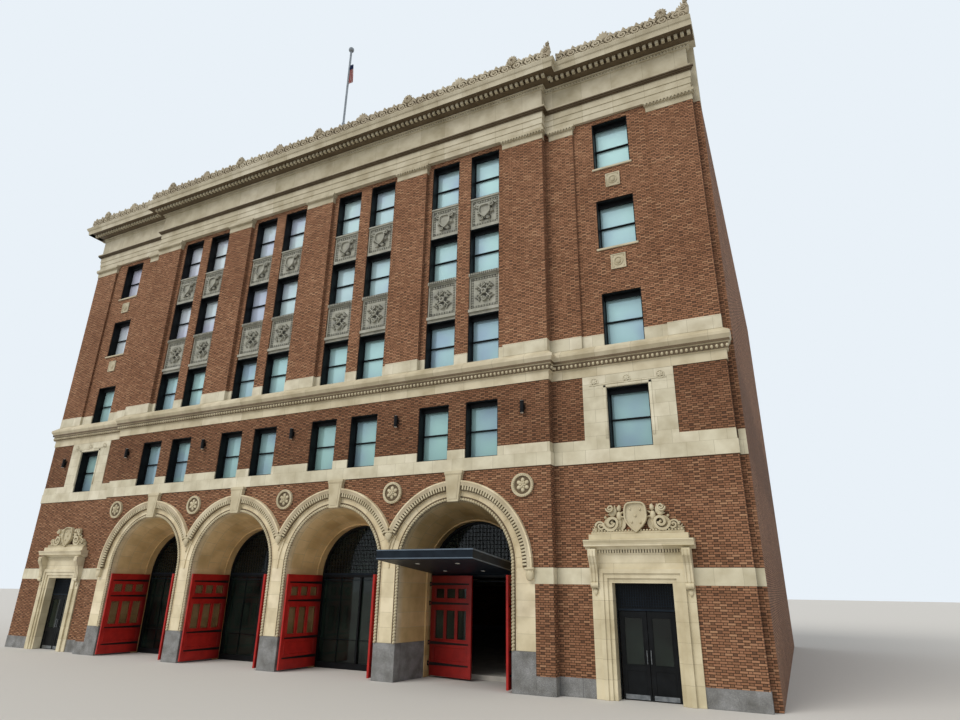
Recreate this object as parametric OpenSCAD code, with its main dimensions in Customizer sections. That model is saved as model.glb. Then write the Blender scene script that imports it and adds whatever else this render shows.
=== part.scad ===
// Fire station building: a five-storey brick and terracotta block over an arcade of four deep arches.
// Millimetres, +Z up. The street front faces -Y and the origin is the middle of the footprint on the ground.

/* [Plan] */
// Distance between the centres of neighbouring arches
bay_pitch = 5025; // [4800:5:5200]
// Half the width of the projecting centre block
centre_half = 11000; // [10900:10:11200]
// Half the width of the street front without the set-back strip
half_width = 16640; // [16500:10:17000]
// Depth of the plot from the centre block's face to the back wall
plot_depth = 24000; // [20000:100:28000]
// How far the end bays stand back behind the centre block
end_setback = 340; // [250:10:400]
// How far the window bays sink behind the brick pilasters
bay_recess = 165; // [100:5:200]
// How far the field of an end bay sinks behind its pilasters
field_recess = 100; // [60:5:140]
// Width of the set-back brick strip beside the neighbour
strip_width = 240; // [150:10:400]
// How far that strip stands back behind the end bay
strip_setback = 260; // [200:10:320]

/* [Heights] */
// Top of the granite bases of the arcade piers
granite_top = 1146; // [1000:1:1300]
// Top of the low granite course under the brick walls
plinth_top = 500; // [300:10:900]
// Underside of the impost band
impost_bottom = 3035; // [2950:5:3060]
// Top of the impost band, where the piers end
impost_top = 3506; // [3480:2:3540]
// Underside of the terracotta sill band
sill_bottom = 6654; // [6620:2:6700]
// Sills of the second storey's windows
sill_mid = 7090; // [7050:5:7120]
// Top of the blocks between those windows
sill_top = 7411; // [7350:1:7500]
// Underside of the belt cornice
belt_bottom = 9550; // [9500:5:9600]
// Top of the belt cornice, the sill of the third storey
belt_top = 10600; // [10550:5:10619]
// Top of the block course over the belt cornice
block_top = 11053; // [10950:1:11200]
// Underside of the pilaster capitals
capital_bottom = 19555; // [19500:5:19600]
// Underside of the architrave
architrave_bottom = 20000; // [19950:5:20050]
// Underside of the frieze
frieze_bottom = 21000; // [20900:10:21100]
// Underside of the main cornice
cornice_bottom = 22000; // [21900:10:22100]
// Top of the main cornice
cornice_top = 22620; // [22550:5:22700]
// Top of the cresting along the cornice
cresting_top = 23550; // [23400:10:23700]
// Height of the running scrolls of the cresting
crest_h = 700; // [600:10:750]

/* [Arcade] */
// Radius of each arch at the street face
arch_r = 2098; // [2050:1:2110]
// Height of the centre of each arch
arch_z = 3581; // [3560:1:3600]
// Outer radius of the moulded archivolt
archivolt_r = 2780; // [2700:5:2800]
// Height of the centre of the archivolt's outer mouldings
archivolt_z = 3508; // [3507:1:3560]
// Radius of the inner arch behind the splayed soffit
inner_r = 1885; // [1860:1:1900]
// Height of the centre of the inner arch
inner_z = 3265; // [3250:5:3280]
// Depth of the splayed soffit and jambs
soffit_depth = 1600; // [1400:10:1800]
// Thickness of the wall that holds the inner arches
inner_wall_t = 450; // [400:10:500]

/* [Doors] */
// Thickness of a red door leaf
leaf_t = 70; // [60:1:80]
// Width of a red door leaf
leaf_w = 1790; // [1760:1:1796]
// Top of the red door leaves
leaf_top = 3290; // [3200:5:3300]
// Distance from the arch's centre line to a red leaf's pivot
pivot_x = 1830; // [1828:1:1835]
// Depth of the red leaves' pivots behind the street face
pivot_y = 1800; // [1780:1:1810]
// Angle at which the open red leaves stand, nearly flat along the splayed jambs
leaf_open = 94.5; // [90:0.5:95]
// Angle at which the right arch's left leaf stands ajar
leaf_ajar = 10; // [0:1:20]
// Centre of the end bays' doors
door_x = 13580; // [13500:10:13650]
// Half the width of the end bays' doorways
door_half = 870; // [850:5:900]
// Head of the end bays' doorways
door_head = 3085; // [3070:5:3100]
// Top of the end bays' door leaves
end_leaf_top = 2310; // [2250:5:2330]

/* [Windows] */
// Width of a mullion pier between paired upper windows
mullion_w = 552; // [500:2:600]
// Width of an upper window
window_w = 1275; // [1200:5:1300]
// Heights of the sills of the third, fourth and fifth storeys
sills = [10619, 14317, 17728];
// Heights of the heads of the third, fourth and fifth storeys
heads = [12556, 16310, 19817];
// Head of the second storey's windows
head_2 = 9102; // [9050:2:9150]
// Centre of the round boss on the cresting of an end bay
end_boss_x = 15970; // [15500:10:16200]
// Centre of the palmette on the cresting of an end bay
end_palmette_x = 13750; // [13300:10:14200]
// Half the width of an end bay's window
end_window_half = 678; // [650:1:700]
// Centre of the end bays' windows
end_window_x = 13562; // [13500:1:13600]

/* [Hidden] */
$fn = 96;

brick = "#7a4632";
terracotta = "#d9c9a3";
granite = "#7c7d7f";
grey_terracotta = "#8f8a79";
black_metal = "#1c1f24";
red_paint = "#9e1b20";
glass = "#9fc7cc";
concrete = "#b5b1a8";

joint = 4;              // open mortar joint that keeps two blocks of one course apart
wall_back = 950;        // inner face of the front wall
window_depth = 330;     // how deep the window frames stand in the wall
shell_t = 450;          // thickness of the side and back walls
ring_t = 150;           // depth of the brick face around the archivolts
slab_t = 350;           // thickness of a floor
lining_r = 2330;        // outside of the terracotta soffit lining
door_plane = 650;       // front of the end bays' door leaves
storefront_y = 1900;    // front of the black storefront frames
canopy_tilt = 5.3;      // the canopy falls towards the wall
strap_zs = [430, 1090, 2370, 3010];
end_hinge_zs = [300, 1160, 2000];
back_y = plot_depth - shell_t;
inner_x = half_width - shell_t;
bays = [for (i = [-1.5 : 1 : 1.5]) i * bay_pitch];
end_y = end_setback;
field_y = end_setback + field_recess;
strip_y = end_setback + strip_setback;
floor_tops = [6650, 10000, 13700, 17100];
roof_top = 20900;
win2_in = 345;
win2_out = 1591;
win_in = mullion_w / 2;
win_out = win_in + window_w;
pilaster_off = 1780;
surround_half = 1475;
door_surround_half = 1475;
side_window_ys = [for (i = [0 : 4]) 3600 + i * 4400];
back_window_xs = [for (i = [-3 : 3]) i * 4400];

module on_plot() translate([0, -plot_depth / 2, 0]) children();

module block(x, y, z) {
    translate([x[0], y[0], z[0]]) cube([x[1] - x[0], y[1] - y[0], z[1] - z[0]]);
}

module both_sides() {
    children();
    mirror([1, 0, 0]) children();
}

module along_y(y0, y1) translate([0, y1, 0]) rotate([90, 0, 0]) linear_extrude(y1 - y0) children();

module each_bay() for (x = bays) translate([x, 0, 0]) children();

// A profile drawn as depth against height, run along a wall that faces the street
module run_x(x0, x1, y) translate([x0, y, 0]) rotate([90, 0, 90]) linear_extrude(x1 - x0) children();

// The same profile run along a wall that faces -X
module run_y(y0, y1, x) translate([x, 0, 0]) along_y(y0, y1) children();

// Two runs that meet at a left-hand outer corner keep only what both of them share there
module mitre(x, y) intersection() {
    run_x(x - 1000, x + wall_back, y) children();
    run_y(y - 1000, y + wall_back, x) children();
}

// A moulding follows the set-backs of the street front and runs on round the street corner
module street_moulding(z, right_end) {
    difference() {
        union() {
            run_x(-centre_half, centre_half, 0) children();
            both_sides() {
                mitre(-centre_half, 0) children();
                run_y(0, end_y, -centre_half) children();
                run_x(-half_width, -centre_half, end_y) children();
                mitre(-half_width, end_y) children();
            }
        }
        block([-half_width - 1500, half_width + 1500], [wall_back, 3000], [z - 50, z + 2000]);
        block([half_width, half_width + 1500], [strip_y - joint, 3000], [z - 50, z + 2000]);
        block([half_width + right_end, half_width + 1500], [-2000, 3000], [z - 50, z + 2000]);
    }
    difference() {
        run_y(wall_back, plot_depth, -half_width) children();
        block([-inner_x, 0], [0, plot_depth + 10], [z - 50, z + 2000]);
    }
}

// A plain band on an end bay, with its short returns at the outer ends
module end_band(x0, p, z) {
    block([-half_width - p, -x0], [end_y - p, wall_back], z);
    block([x0, half_width], [end_y - p, wall_back], z);
    block([half_width, half_width + p], [end_y - p, strip_y - joint], z);
}

// Every pair of neighbouring bays shares a pier, and the outer piers stand at the ends
pier_xs = [for (i = [-1 : 1]) i * bay_pitch];
outer_pier_in = 1.5 * bay_pitch + arch_r;
outer_pier_out = 10400;

module pier_plan(grow) {
    splay = arch_r - inner_r - 45;
    half = bay_pitch / 2 - arch_r + grow;
    polygon([[-half, -grow], [half, -grow], [half + splay, soffit_depth], [-half - splay, soffit_depth]]);
}

module outer_pier_plan(grow) {
    splay = arch_r - inner_r - 45;
    polygon([[outer_pier_in - grow, -grow], [outer_pier_out, -grow], [outer_pier_out, soffit_depth],
        [outer_pier_in - grow - splay, soffit_depth]]);
}

module granite_bases() color(granite) on_plot() {
    for (x = pier_xs) translate([x, 0, 0]) linear_extrude(granite_top) pier_plan(12);
    both_sides() {
        linear_extrude(granite_top) outer_pier_plan(12);
        block([outer_pier_out + joint, centre_half + 15], [-15, wall_back], [0, plinth_top]);
        block([centre_half + 15 + joint, door_x - door_surround_half], [end_y - 15, wall_back], [0, plinth_top]);
    }
    end_band(door_x + door_surround_half, 15, [0, plinth_top]);
}

module arcade_piers() color(terracotta) on_plot() {
    for (x = pier_xs)
        translate([x, 0, granite_top]) linear_extrude(impost_top - granite_top) pier_plan(0);
    both_sides() translate([0, 0, granite_top]) linear_extrude(impost_top - granite_top) outer_pier_plan(0);
}

module inner_jambs() color(terracotta) on_plot() {
    y = [soffit_depth, soffit_depth + inner_wall_t];
    half = bay_pitch / 2 - inner_r;
    for (x = pier_xs) block([x - half, x + half], y, [0, inner_z]);
    both_sides() block([1.5 * bay_pitch + inner_r, centre_half], y, [0, inner_z]);
}

module inner_arches() color(terracotta) on_plot() {
    along_y(soffit_depth, soffit_depth + inner_wall_t) difference() {
        translate([-centre_half, inner_z]) square([2 * centre_half, floor_tops[0] - slab_t - inner_z]);
        for (x = bays) translate([x, inner_z]) circle(inner_r);
    }
}

// The splay runs from the street arch down to the smaller inner arch
module splayed_void() hull() {
    translate([0, ring_t, arch_z]) rotate([90, 0, 0]) cylinder(r = arch_r, h = 1, $fn = 64);
    translate([0, soffit_depth + 1, inner_z]) rotate([90, 0, 0]) cylinder(r = inner_r + 45, h = 1, $fn = 64);
}

module arch_soffits() color(terracotta) on_plot() each_bay() difference() {
    along_y(ring_t, soffit_depth) intersection() {
        translate([0, arch_z]) circle(lining_r);
        translate([-lining_r, impost_top]) square([2 * lining_r, 2 * lining_r]);
    }
    splayed_void();
}

module key_wedge(grow) {
    polygon([[-205 - grow, arch_z + arch_r - 40], [205 + grow, arch_z + arch_r - 40],
        [325 + grow, sill_bottom], [-325 - grow, sill_bottom]]);
}

// The moulded ring meets its neighbours half way between two arches
module ring_plan(r_in, z_in, r_out, z_out) difference() {
    intersection() {
        translate([0, z_out]) circle(r_out, $fn = 200);
        translate([-bay_pitch / 2 + joint / 2, impost_top]) square([bay_pitch - joint, 2 * r_out]);
    }
    translate([0, z_in]) circle(r_in, $fn = 200);
    key_wedge(joint);
}

// A plain face, a band that carries the beads, then two projecting outer mouldings
module archivolts() color(terracotta) on_plot() each_bay() {
    along_y(0, ring_t) ring_plan(arch_r, arch_z, archivolt_r, archivolt_z);
    along_y(-35, 1) ring_plan(2480, archivolt_z, archivolt_r, archivolt_z);
    along_y(-80, -34) ring_plan(2585, archivolt_z, archivolt_r, archivolt_z);
    along_y(-120, -79) ring_plan(2690, archivolt_z, archivolt_r, archivolt_z);
}

module keystones() color(terracotta) on_plot() each_bay() {
    along_y(-130, ring_t) key_wedge(0);
    block([-345, 345], [-170, ring_t], [sill_bottom - 90, sill_bottom]);
}

// The archivolts end on rounded pendants where no neighbour carries on
module arch_pendants() color(terracotta) on_plot() {
    both_sides() along_y(-130, 0) union() {
        translate([1.5 * bay_pitch + 2737, 3260]) circle(122);
        translate([1.5 * bay_pitch + 2615, 3260]) square([244, impost_top - 3260]);
    }
}

module arcade_masonry() color(brick) on_plot() {
    along_y(ring_t, soffit_depth) difference() {
        translate([-centre_half, impost_top])
            square([2 * centre_half, floor_tops[0] - slab_t - impost_top]);
        for (x = bays) translate([x, arch_z]) circle(lining_r);
        for (x = bays) translate([x - lining_r, impost_top - 1]) square([2 * lining_r, arch_z - impost_top + 1]);
    }
}

module arch_spandrels() color(brick) on_plot() {
    along_y(0, ring_t) difference() {
        translate([-centre_half, impost_top]) square([2 * centre_half, sill_bottom - impost_top]);
        for (x = bays) translate([x, 0]) {
            translate([0, archivolt_z]) circle(archivolt_r, $fn = 200);
            translate([-archivolt_r, impost_top - 1]) square([2 * archivolt_r, archivolt_z - impost_top + 1]);
            key_wedge(0);
            translate([-345, sill_bottom - 90]) square([690, 100]);
        }
    }
}

module medallions() color(terracotta) on_plot() for (i = [-2 : 2])
    translate([i * bay_pitch - (abs(i) == 2 ? sign(i) * 10 : 0), 0, 6050]) rotate([90, 0, 0]) {
        difference() {
            cylinder(r = 380, h = 90);
            translate([0, 0, 40]) cylinder(r = 300, h = 60);
        }
        translate([0, 0, 40]) cylinder(r = 90, h = 40);
    }

module impost_bands() color(terracotta) on_plot() {
    z = [impost_bottom, impost_top];
    both_sides() {
        block([outer_pier_out, centre_half + 10], [-10, wall_back], z);
        block([centre_half + 10 + joint, door_x - door_surround_half], [end_y - 10, wall_back], z);
    }
    end_band(door_x + door_surround_half, 10, z);
    block([half_width + 14, half_width + strip_width], [strip_y - 20, strip_y], z);
}

module end_bay_piers() color(brick) on_plot() both_sides() {
    z = [plinth_top, impost_bottom];
    block([outer_pier_out, centre_half], [0, wall_back], z);
    block([centre_half + joint, door_x - door_surround_half], [end_y, wall_back], z);
    block([door_x + door_surround_half, half_width], [end_y, wall_back], z);
    block([centre_half + joint, half_width], [end_y, wall_back], [impost_top, sill_bottom]);
}

// The scroll bracket seen from its side: a large curl on top, a small one at its foot
module console_profile() union() {
    translate([-170, 950]) circle(150);
    polygon([[0, 0], [-70, 0], [-110, 190], [-120, 420], [-175, 640], [-310, 900], [-310, 1100], [0, 1100]]);
    translate([-75, 90]) circle(80);
}

module door_surrounds() color(terracotta) on_plot() both_sides() translate([door_x, end_y, 0]) {
    for (s = [0, 1]) mirror([s, 0, 0]) {
        block([door_half, door_surround_half], [-40, wall_back - end_y], [0, door_head]);
        block([1235, door_surround_half], [-60, 0], [0, 4020]);
        block([door_half + 120, 1235], [-90, 0], [0, 3475]);
        block([1110, 1235], [-130, 0], [0, 3475]);
        block([1245, 1475], [-60, 0], [2920, 4040]);
        translate([1245, -60, 2935]) rotate([90, 0, 90]) linear_extrude(225) console_profile();
    }
    block([-door_surround_half, door_surround_half], [-40, wall_back - end_y], [door_head, impost_top]);
    block([-door_half - 120, door_half + 120], [-90, 0], [door_head + 130, 3475]);
    block([-1235, 1235], [-130, 0], [3350, 3475]);
    block([-door_surround_half, door_surround_half], [-60, 0], [3475, 4100]);
    translate([0, 0, 4020]) for (s = [-1, 1]) scale([s, 1, 1]) run_x(0, 1600, 0)
        polygon([[0, 0], [-120, 0], [-180, 70], [-330, 90], [-345, 170], [-390, 250], [-380, 275], [0, 300]]);
    block([-1455, 1455], [-230, 0], [4310, 4460]);
}

// A shield between two curled beasts, with scrolls running out to the ends
module crest_side() {
    translate([440, 730]) circle(110);
    translate([720, 700]) circle(190);
    difference() {
        translate([720, 300]) circle(240);
        translate([720, 320]) circle(70);
    }
    translate([330, 100]) square([360, 480]);
    difference() {
        translate([1060, 200]) circle(170);
        translate([1060, 210]) circle(50);
    }
    translate([1250, 110]) circle(110);
    translate([0, 0]) square([1360, 100]);
}

module shield_plan() {
    intersection() {
        translate([-380, 10]) square([760, 900]);
        translate([300, 700]) circle(700);
        translate([-300, 700]) circle(700);
    }
    polygon([[-380, 500], [380, 500], [380, 860], [0, 930], [-380, 860]]);
}

module door_crests() color(terracotta) on_plot() both_sides() translate([door_x - 20, end_y, 4460]) {
    along_y(-150, 0) union() {
        crest_side();
        mirror([1, 0, 0]) crest_side();
    }
    along_y(-220, 0) shield_plan();
}

module door_frames() color(black_metal) on_plot() both_sides() translate([door_x, door_plane, 0]) {
    difference() {
        block([-door_half, door_half], [-10, 70], [0, door_head]);
        block([-door_half + 45, door_half - 45], [-20, 80], [-1, end_leaf_top + 10]);
        block([-door_half + 45, door_half - 45], [-20, 80], [end_leaf_top + 90, door_head - 45]);
    }
    block([-door_half + 45, door_half - 45], [25, 35], [end_leaf_top + 90, door_head - 45]);
}

// The front inside an arch: a transom bar with a fan light over it and a glazed wall below
module fan_plan(r) intersection() {
    translate([0, inner_z]) circle(r);
    translate([-r, inner_z]) square([2 * r, r]);
}

// The right arch's doors fill it up to its transom bar
module storefront_lower(half, i) {
    bottom = i < 3 ? 0 : inner_z - 20;
    translate([-half, bottom]) square([2 * half, inner_z + 1 - bottom]);
}

module storefront_frames() color(black_metal) on_plot() for (i = [0 : 3]) translate([bays[i], 0, 0]) {
    r = inner_r - joint;
    along_y(storefront_y, storefront_y + 80) difference() {
        union() {
            fan_plan(r);
            storefront_lower(r - 3, i);
        }
        intersection() {
            translate([0, inner_z]) circle(r - 80);
            translate([-r, inner_z + 110]) square([2 * r, r]);
        }
        if (i < 3) for (s = [-1, 1]) translate([s > 0 ? 35 : 35 - r + 45, 200])
            square([r - 115, inner_z - 240]);
    }
}

module storefront_glass() color(glass) on_plot() for (i = [0 : 3]) translate([bays[i], 0, 0]) {
    r = inner_r - joint;
    along_y(storefront_y + 80, storefront_y + 100) union() {
        fan_plan(r);
        storefront_lower(r - 3, i);
    }
}

module canopy() color(black_metal) on_plot() translate([bays[3], 0, 0]) {
    translate([0, -1950, 3685]) rotate([-canopy_tilt, 0, 0]) difference() {
        block([-1690, 1690], [0, 3820], [0, 300]);
        block([-1640, 1640], [50, 3830], [240, 310]);
    }
}

module sill_band() color(terracotta) on_plot() {
    z = [sill_bottom, sill_mid];
    block([-centre_half - 30, centre_half + 30], [-30, wall_back], z);
    end_band(centre_half + 30 + joint, 30, z);
    block([half_width + 34, half_width + strip_width], [strip_y - 30, strip_y], [sill_bottom, sill_top]);
}

module second_storey_columns(y, z) {
    for (x = pier_xs) {
        half = bay_pitch / 2 - win2_out;
        block([x - half, x + half], y, z);
    }
    for (x = bays) block([x - win2_in, x + win2_in], y, z);
    both_sides() block([1.5 * bay_pitch + win2_out, centre_half], y, z);
}

module upper_columns(y, z) {
    for (x = pier_xs) {
        half = bay_pitch / 2 - win_out;
        block([x - half, x + half], y, z);
    }
    for (x = bays) block([x - win_in, x + win_in], y, z);
    both_sides() block([1.5 * bay_pitch + win_out, centre_half], y, z);
}

module end_columns(y, z, half) both_sides() {
    block([centre_half + joint, end_window_x - half], y, z);
    block([end_window_x + half, half_width], y, z);
}

module block_courses() color(terracotta) on_plot() {
    second_storey_columns([-15, wall_back], [sill_mid, sill_top]);
    end_columns([end_y - 15, wall_back], [sill_mid, sill_top], surround_half);
    upper_columns([bay_recess - 15, wall_back], [belt_top, block_top]);
    for (x = pier_xs) {
        half = bay_pitch / 2 - pilaster_off;
        block([x - half, x + half], [-15, bay_recess], [belt_top, block_top]);
    }
    both_sides() block([1.5 * bay_pitch + pilaster_off, centre_half], [-15, bay_recess], [belt_top, block_top]);
    end_columns([field_y - 15, wall_back], [belt_top, block_top], end_window_half);
    both_sides() {
        block([centre_half + joint, 12130], [end_y - 15, field_y], [belt_top, block_top]);
        block([15000, half_width], [end_y - 15, field_y], [belt_top, block_top]);
    }
}

module front_wall_piers() color(brick) on_plot() {
    second_storey_columns([0, wall_back], [sill_top, head_2]);
    end_columns([end_y, wall_back], [sill_top, belt_bottom], surround_half);
    upper_columns([bay_recess, wall_back], [block_top, architrave_bottom]);
    end_columns([field_y, wall_back], [block_top, architrave_bottom], end_window_half);
}

module front_wall_spandrels() color(brick) on_plot() {
    block([-centre_half, centre_half], [ring_t, wall_back], [floor_tops[0] - slab_t, sill_bottom]);
    block([-centre_half, centre_half], [0, wall_back], [head_2, belt_bottom]);
    for (i = [0, 1]) both_sides() block([end_window_x - end_window_half, end_window_x + end_window_half],
        [field_y, wall_back], [heads[i], sills[i + 1]]);
    both_sides() block([end_window_x - end_window_half, end_window_x + end_window_half],
        [field_y, wall_back], [heads[2], architrave_bottom]);
    each_bay() for (s = [-1, 1]) translate([s * (win_in + win_out) / 2, 0, 0])
        block([-window_w / 2, window_w / 2], [bay_recess, wall_back], [heads[2], architrave_bottom]);
}

module end_window_surrounds() color(terracotta) on_plot() both_sides() translate([end_window_x, 0, 0]) {
    for (s = [0, 1]) mirror([s, 0, 0])
        block([end_window_half, surround_half], [end_y - 20, wall_back], [sill_mid, head_2]);
    block([-surround_half, surround_half], [end_y - 20, wall_back], [head_2 + joint, belt_bottom]);
}

module belt_profile() polygon([[wall_back, 0], [-30, 0], [-30, 300], [-80, 330], [-100, 520], [-150, 550],
    [-160, 640], [-200, 700], [-240, 760], [-240, 850], [0, belt_top - belt_bottom],
    [wall_back, belt_top - belt_bottom]]);

module belt_cornice() color(terracotta) on_plot() translate([0, 0, belt_bottom])
    street_moulding(0, 200) belt_profile();

module brick_pilasters() color(brick) on_plot() {
    z = [block_top, capital_bottom];
    for (x = pier_xs) {
        half = bay_pitch / 2 - pilaster_off;
        block([x - half, x + half], [0, bay_recess], z);
    }
    both_sides() {
        block([1.5 * bay_pitch + pilaster_off, centre_half], [0, bay_recess], z);
        block([centre_half + joint, 12130], [end_y, field_y], z);
        block([15000, half_width], [end_y, field_y], z);
    }
}

module capital(x, y, back) {
    block([x[0] - 20, x[1] + 20], [y - 20, back], [capital_bottom, capital_bottom + 300]);
    block([x[0] - 60, x[1] + 60], [y - 70, back], [capital_bottom + 255, capital_bottom + 330]);
    block([x[0] - 95, x[1] + 95], [y - 110, back], [capital_bottom + 330, architrave_bottom]);
}

module pilaster_capitals() color(terracotta) on_plot() {
    for (x = pier_xs) {
        half = bay_pitch / 2 - pilaster_off;
        capital([x - half, x + half], 0, bay_recess);
    }
    both_sides() {
        capital([1.5 * bay_pitch + pilaster_off, centre_half], 0, bay_recess);
        capital([centre_half + 95 + joint + 95, 12130], end_y, field_y);
    }
    capital([-half_width, -15000], end_y, field_y);
    capital([15000, half_width], end_y, field_y);
}

// Each panel is a slab with a sunk field, and mouldings cross it above and below the lower field
module spandrel_panels() color(grey_terracotta) on_plot() each_bay() for (s = [-1, 1])
    translate([s * (win_in + win_out) / 2, bay_recess, 0]) {
        half = window_w / 2;
        for (i = [0, 1]) difference() {
            block([-half, half], [60, wall_back - 300], [heads[i], sills[i + 1]]);
            block([70 - half, half - 70], [0, 90],
                [heads[i] + (i == 0 ? 290 : 150), sills[i + 1] - (i == 0 ? 190 : 130)]);
        }
        block([-half, half], [-20, 70], [heads[0] + 120, heads[0] + 235]);
        block([-half, half], [-20, 70], [sills[1] - 130, sills[1]]);
        block([-half, half], [10, 70], [sills[2] - 60, sills[2]]);
    }

module sills_and_plaques() color(terracotta) on_plot() both_sides() translate([end_window_x, field_y, 0])
    for (i = [1, 2]) {
        block([-end_window_half - 60, end_window_half + 60], [-50, 0], [sills[i] - 70, sills[i]]);
        block([-260, 260], [-30, 0], [sills[i] - 900, sills[i] - 340]);
    }

module architrave_profile() polygon([[wall_back, 0], [-10, 0], [-10, 270], [-35, 270], [-35, 540], [-60, 540],
    [-60, 810], [-100, 850], [-190, 950], [-200, 1000], [wall_back, 1000]]);

module architrave() color(terracotta) on_plot() translate([0, 0, architrave_bottom])
    street_moulding(0, 95) architrave_profile();

module frieze() color(terracotta) on_plot() {
    translate([0, 0, frieze_bottom]) street_moulding(0, 0)
        translate([-50, 0]) square([wall_back + 50, cornice_bottom - frieze_bottom]);
    block([half_width + joint, half_width + strip_width], [strip_y, strip_y + 600], [19604, cornice_top]);
}

module cornice_profile() polygon([[wall_back, 0], [-50, 0], [-110, 60], [-130, 90], [-400, 100], [-400, 230],
    [-730, 235], [-740, 330], [-760, 450], [-800, 480], [-850, 600], [-850, 620], [wall_back, 620]]);

module main_cornice() color(terracotta) on_plot() translate([0, 0, cornice_bottom])
    street_moulding(0, 350) cornice_profile();

// Leaves and scrolls along the cornice, cut from one upright slab, with bosses and palmettes over it
module crest_run(length, bosses, palmettes) along_y(0, 110) union() {
    square([length, crest_h]);
    for (x = bosses) translate([x, cresting_top - cornice_top - 280]) circle(280);
    for (x = palmettes) translate([x, crest_h + 20]) circle(255);
}

// Half a pointed leaf, whose upright edge meets its twin at a corner of the cornice
module half_leaf() polygon([[0, 0], [0, 1080], [-90, 1010], [-250, 810], [-350, 560], [-370, 360], [-320, 0]]);

// Two half leaves at a right angle, one along the street and one along the return
module acroterion() {
    along_y(0, 130) half_leaf();
    translate([-130, 130, 0]) rotate([90, 0, 90]) linear_extrude(130) mirror([1, 0, 0]) half_leaf();
}

module cresting() color(terracotta) on_plot() translate([0, 0, cornice_top]) {
    half = centre_half + 640;
    translate([-half, -640, 0]) crest_run(2 * half, [for (i = [-2 : 2]) half + i * bay_pitch],
        [for (i = [-1.5 : 1 : 1.5]) half + i * bay_pitch]);
    translate([centre_half + 644, end_y - 640, 0]) crest_run(half_width - centre_half - 330,
        [end_boss_x - centre_half - 644], [end_palmette_x - centre_half - 644]);
    translate([-half_width - 640, end_y - 640, 0]) crest_run(half_width - centre_half - joint,
        [half_width + 640 - end_boss_x], [half_width + 640 - end_palmette_x]);
    translate([-half_width - 640, end_y - 640 + 114, 0])
        block([0, 110], [0, plot_depth - end_y], [0, crest_h]);
    translate([centre_half + 720, -780, 0]) acroterion();
    translate([half_width + 350, end_y - 780, 0]) acroterion();
}

module side_wall_piers() color(brick) on_plot() {
    x = [-half_width, -inner_x];
    for (z = [[sill_top, head_2], [block_top, architrave_bottom]]) {
        edges = concat([wall_back], [for (y = side_window_ys) each [y - end_window_half, y + end_window_half]],
            [plot_depth]);
        for (i = [0 : 2 : len(edges) - 1]) block(x, [edges[i], edges[i + 1]], z);
        xs = concat([-inner_x + joint], [for (c = back_window_xs) each [c - end_window_half, c + end_window_half]],
            [inner_x]);
        for (i = [0 : 2 : len(xs) - 1]) block([xs[i], xs[i + 1]], [back_y, plot_depth], z);
    }
    block(x, [wall_back, plot_depth], [plinth_top, impost_bottom]);
    block(x, [wall_back, plot_depth], [impost_top, sill_bottom]);
    block([-inner_x + joint, inner_x], [back_y, plot_depth], [plinth_top, impost_bottom]);
    block([-inner_x + joint, inner_x], [back_y, plot_depth], [impost_top, sill_bottom]);
}

module side_wall_spandrels() color(brick) on_plot() {
    for (z = [[heads[0], sills[1]], [heads[1], sills[2]], [heads[2], architrave_bottom]]) {
        for (y = side_window_ys)
            block([-half_width, -inner_x], [y - end_window_half, y + end_window_half], z);
        for (c = back_window_xs)
            block([c - end_window_half, c + end_window_half], [back_y, plot_depth], z);
    }
    block([-half_width, -inner_x], [wall_back, plot_depth], [head_2, belt_bottom]);
    block([-inner_x + joint, inner_x], [back_y, plot_depth], [head_2, belt_bottom]);
}

module side_bands() color(terracotta) on_plot() {
    x = [-inner_x + joint, inner_x];
    for (z = [[impost_bottom, impost_top], [sill_bottom, sill_top]])
        block([-half_width - 20, -inner_x], [wall_back, plot_depth + 20], z);
    block([-half_width, -inner_x], [wall_back, plot_depth], [belt_top, block_top]);
    for (z = [[impost_bottom, impost_top], [sill_bottom, sill_top], [belt_bottom, block_top],
        [architrave_bottom, cornice_top]]) block(x, [back_y, plot_depth + 20], z);
    block([-half_width - 15, -inner_x], [wall_back, plot_depth + 15], [0, plinth_top]);
    block(x, [back_y, plot_depth + 15], [0, plinth_top]);
}

module party_wall() color(brick) on_plot() {
    block([inner_x, half_width], [wall_back, plot_depth], [0, cornice_top]);
    block([half_width + joint, half_width + strip_width], [strip_y, plot_depth], [0, 19600]);
}

module ground_slab() color(concrete) on_plot() {
    block([-inner_x, inner_x], [soffit_depth + inner_wall_t, back_y], [0, 150]);
    both_sides() difference() {
        block([centre_half, inner_x], [wall_back, soffit_depth + inner_wall_t], [0, 150]);
        block([door_x - door_half - 60, door_x + door_half + 60], [wall_back - 1, 1620], [8, 151]);
    }
}

module floor_slabs() color(concrete) on_plot() for (z = floor_tops)
    block([-inner_x, inner_x], [wall_back, back_y], [z - slab_t, z]);

module roof_slab() color(concrete) on_plot()
    block([-inner_x, inner_x], [wall_back, back_y], [roof_top - slab_t, roof_top]);

module window_frame(w, z) {
    middle = (z[0] + z[1] - 40) / 2;
    difference() {
        block([-w / 2, w / 2], [0, 70], z);
        block([-w / 2 + 50, w / 2 - 50], [-1, 71], [z[0] + 70, middle - 25]);
        block([-w / 2 + 50, w / 2 - 50], [-1, 71], [middle + 25, z[1] - 110]);
    }
}

module front_windows(y) {
    each_bay() for (s = [-1, 1]) {
        translate([s * (win2_in + win2_out) / 2, window_depth + y, 0]) children(0);
        for (i = [0 : 2]) translate([s * (win_in + win_out) / 2, bay_recess + window_depth + y, 0])
            children(i + 1);
    }
    both_sides() {
        translate([end_window_x, end_y + window_depth + y, 0]) children(4);
        for (i = [0 : 2]) translate([end_window_x, field_y + window_depth + y, 0]) children(i + 5);
    }
}

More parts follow.
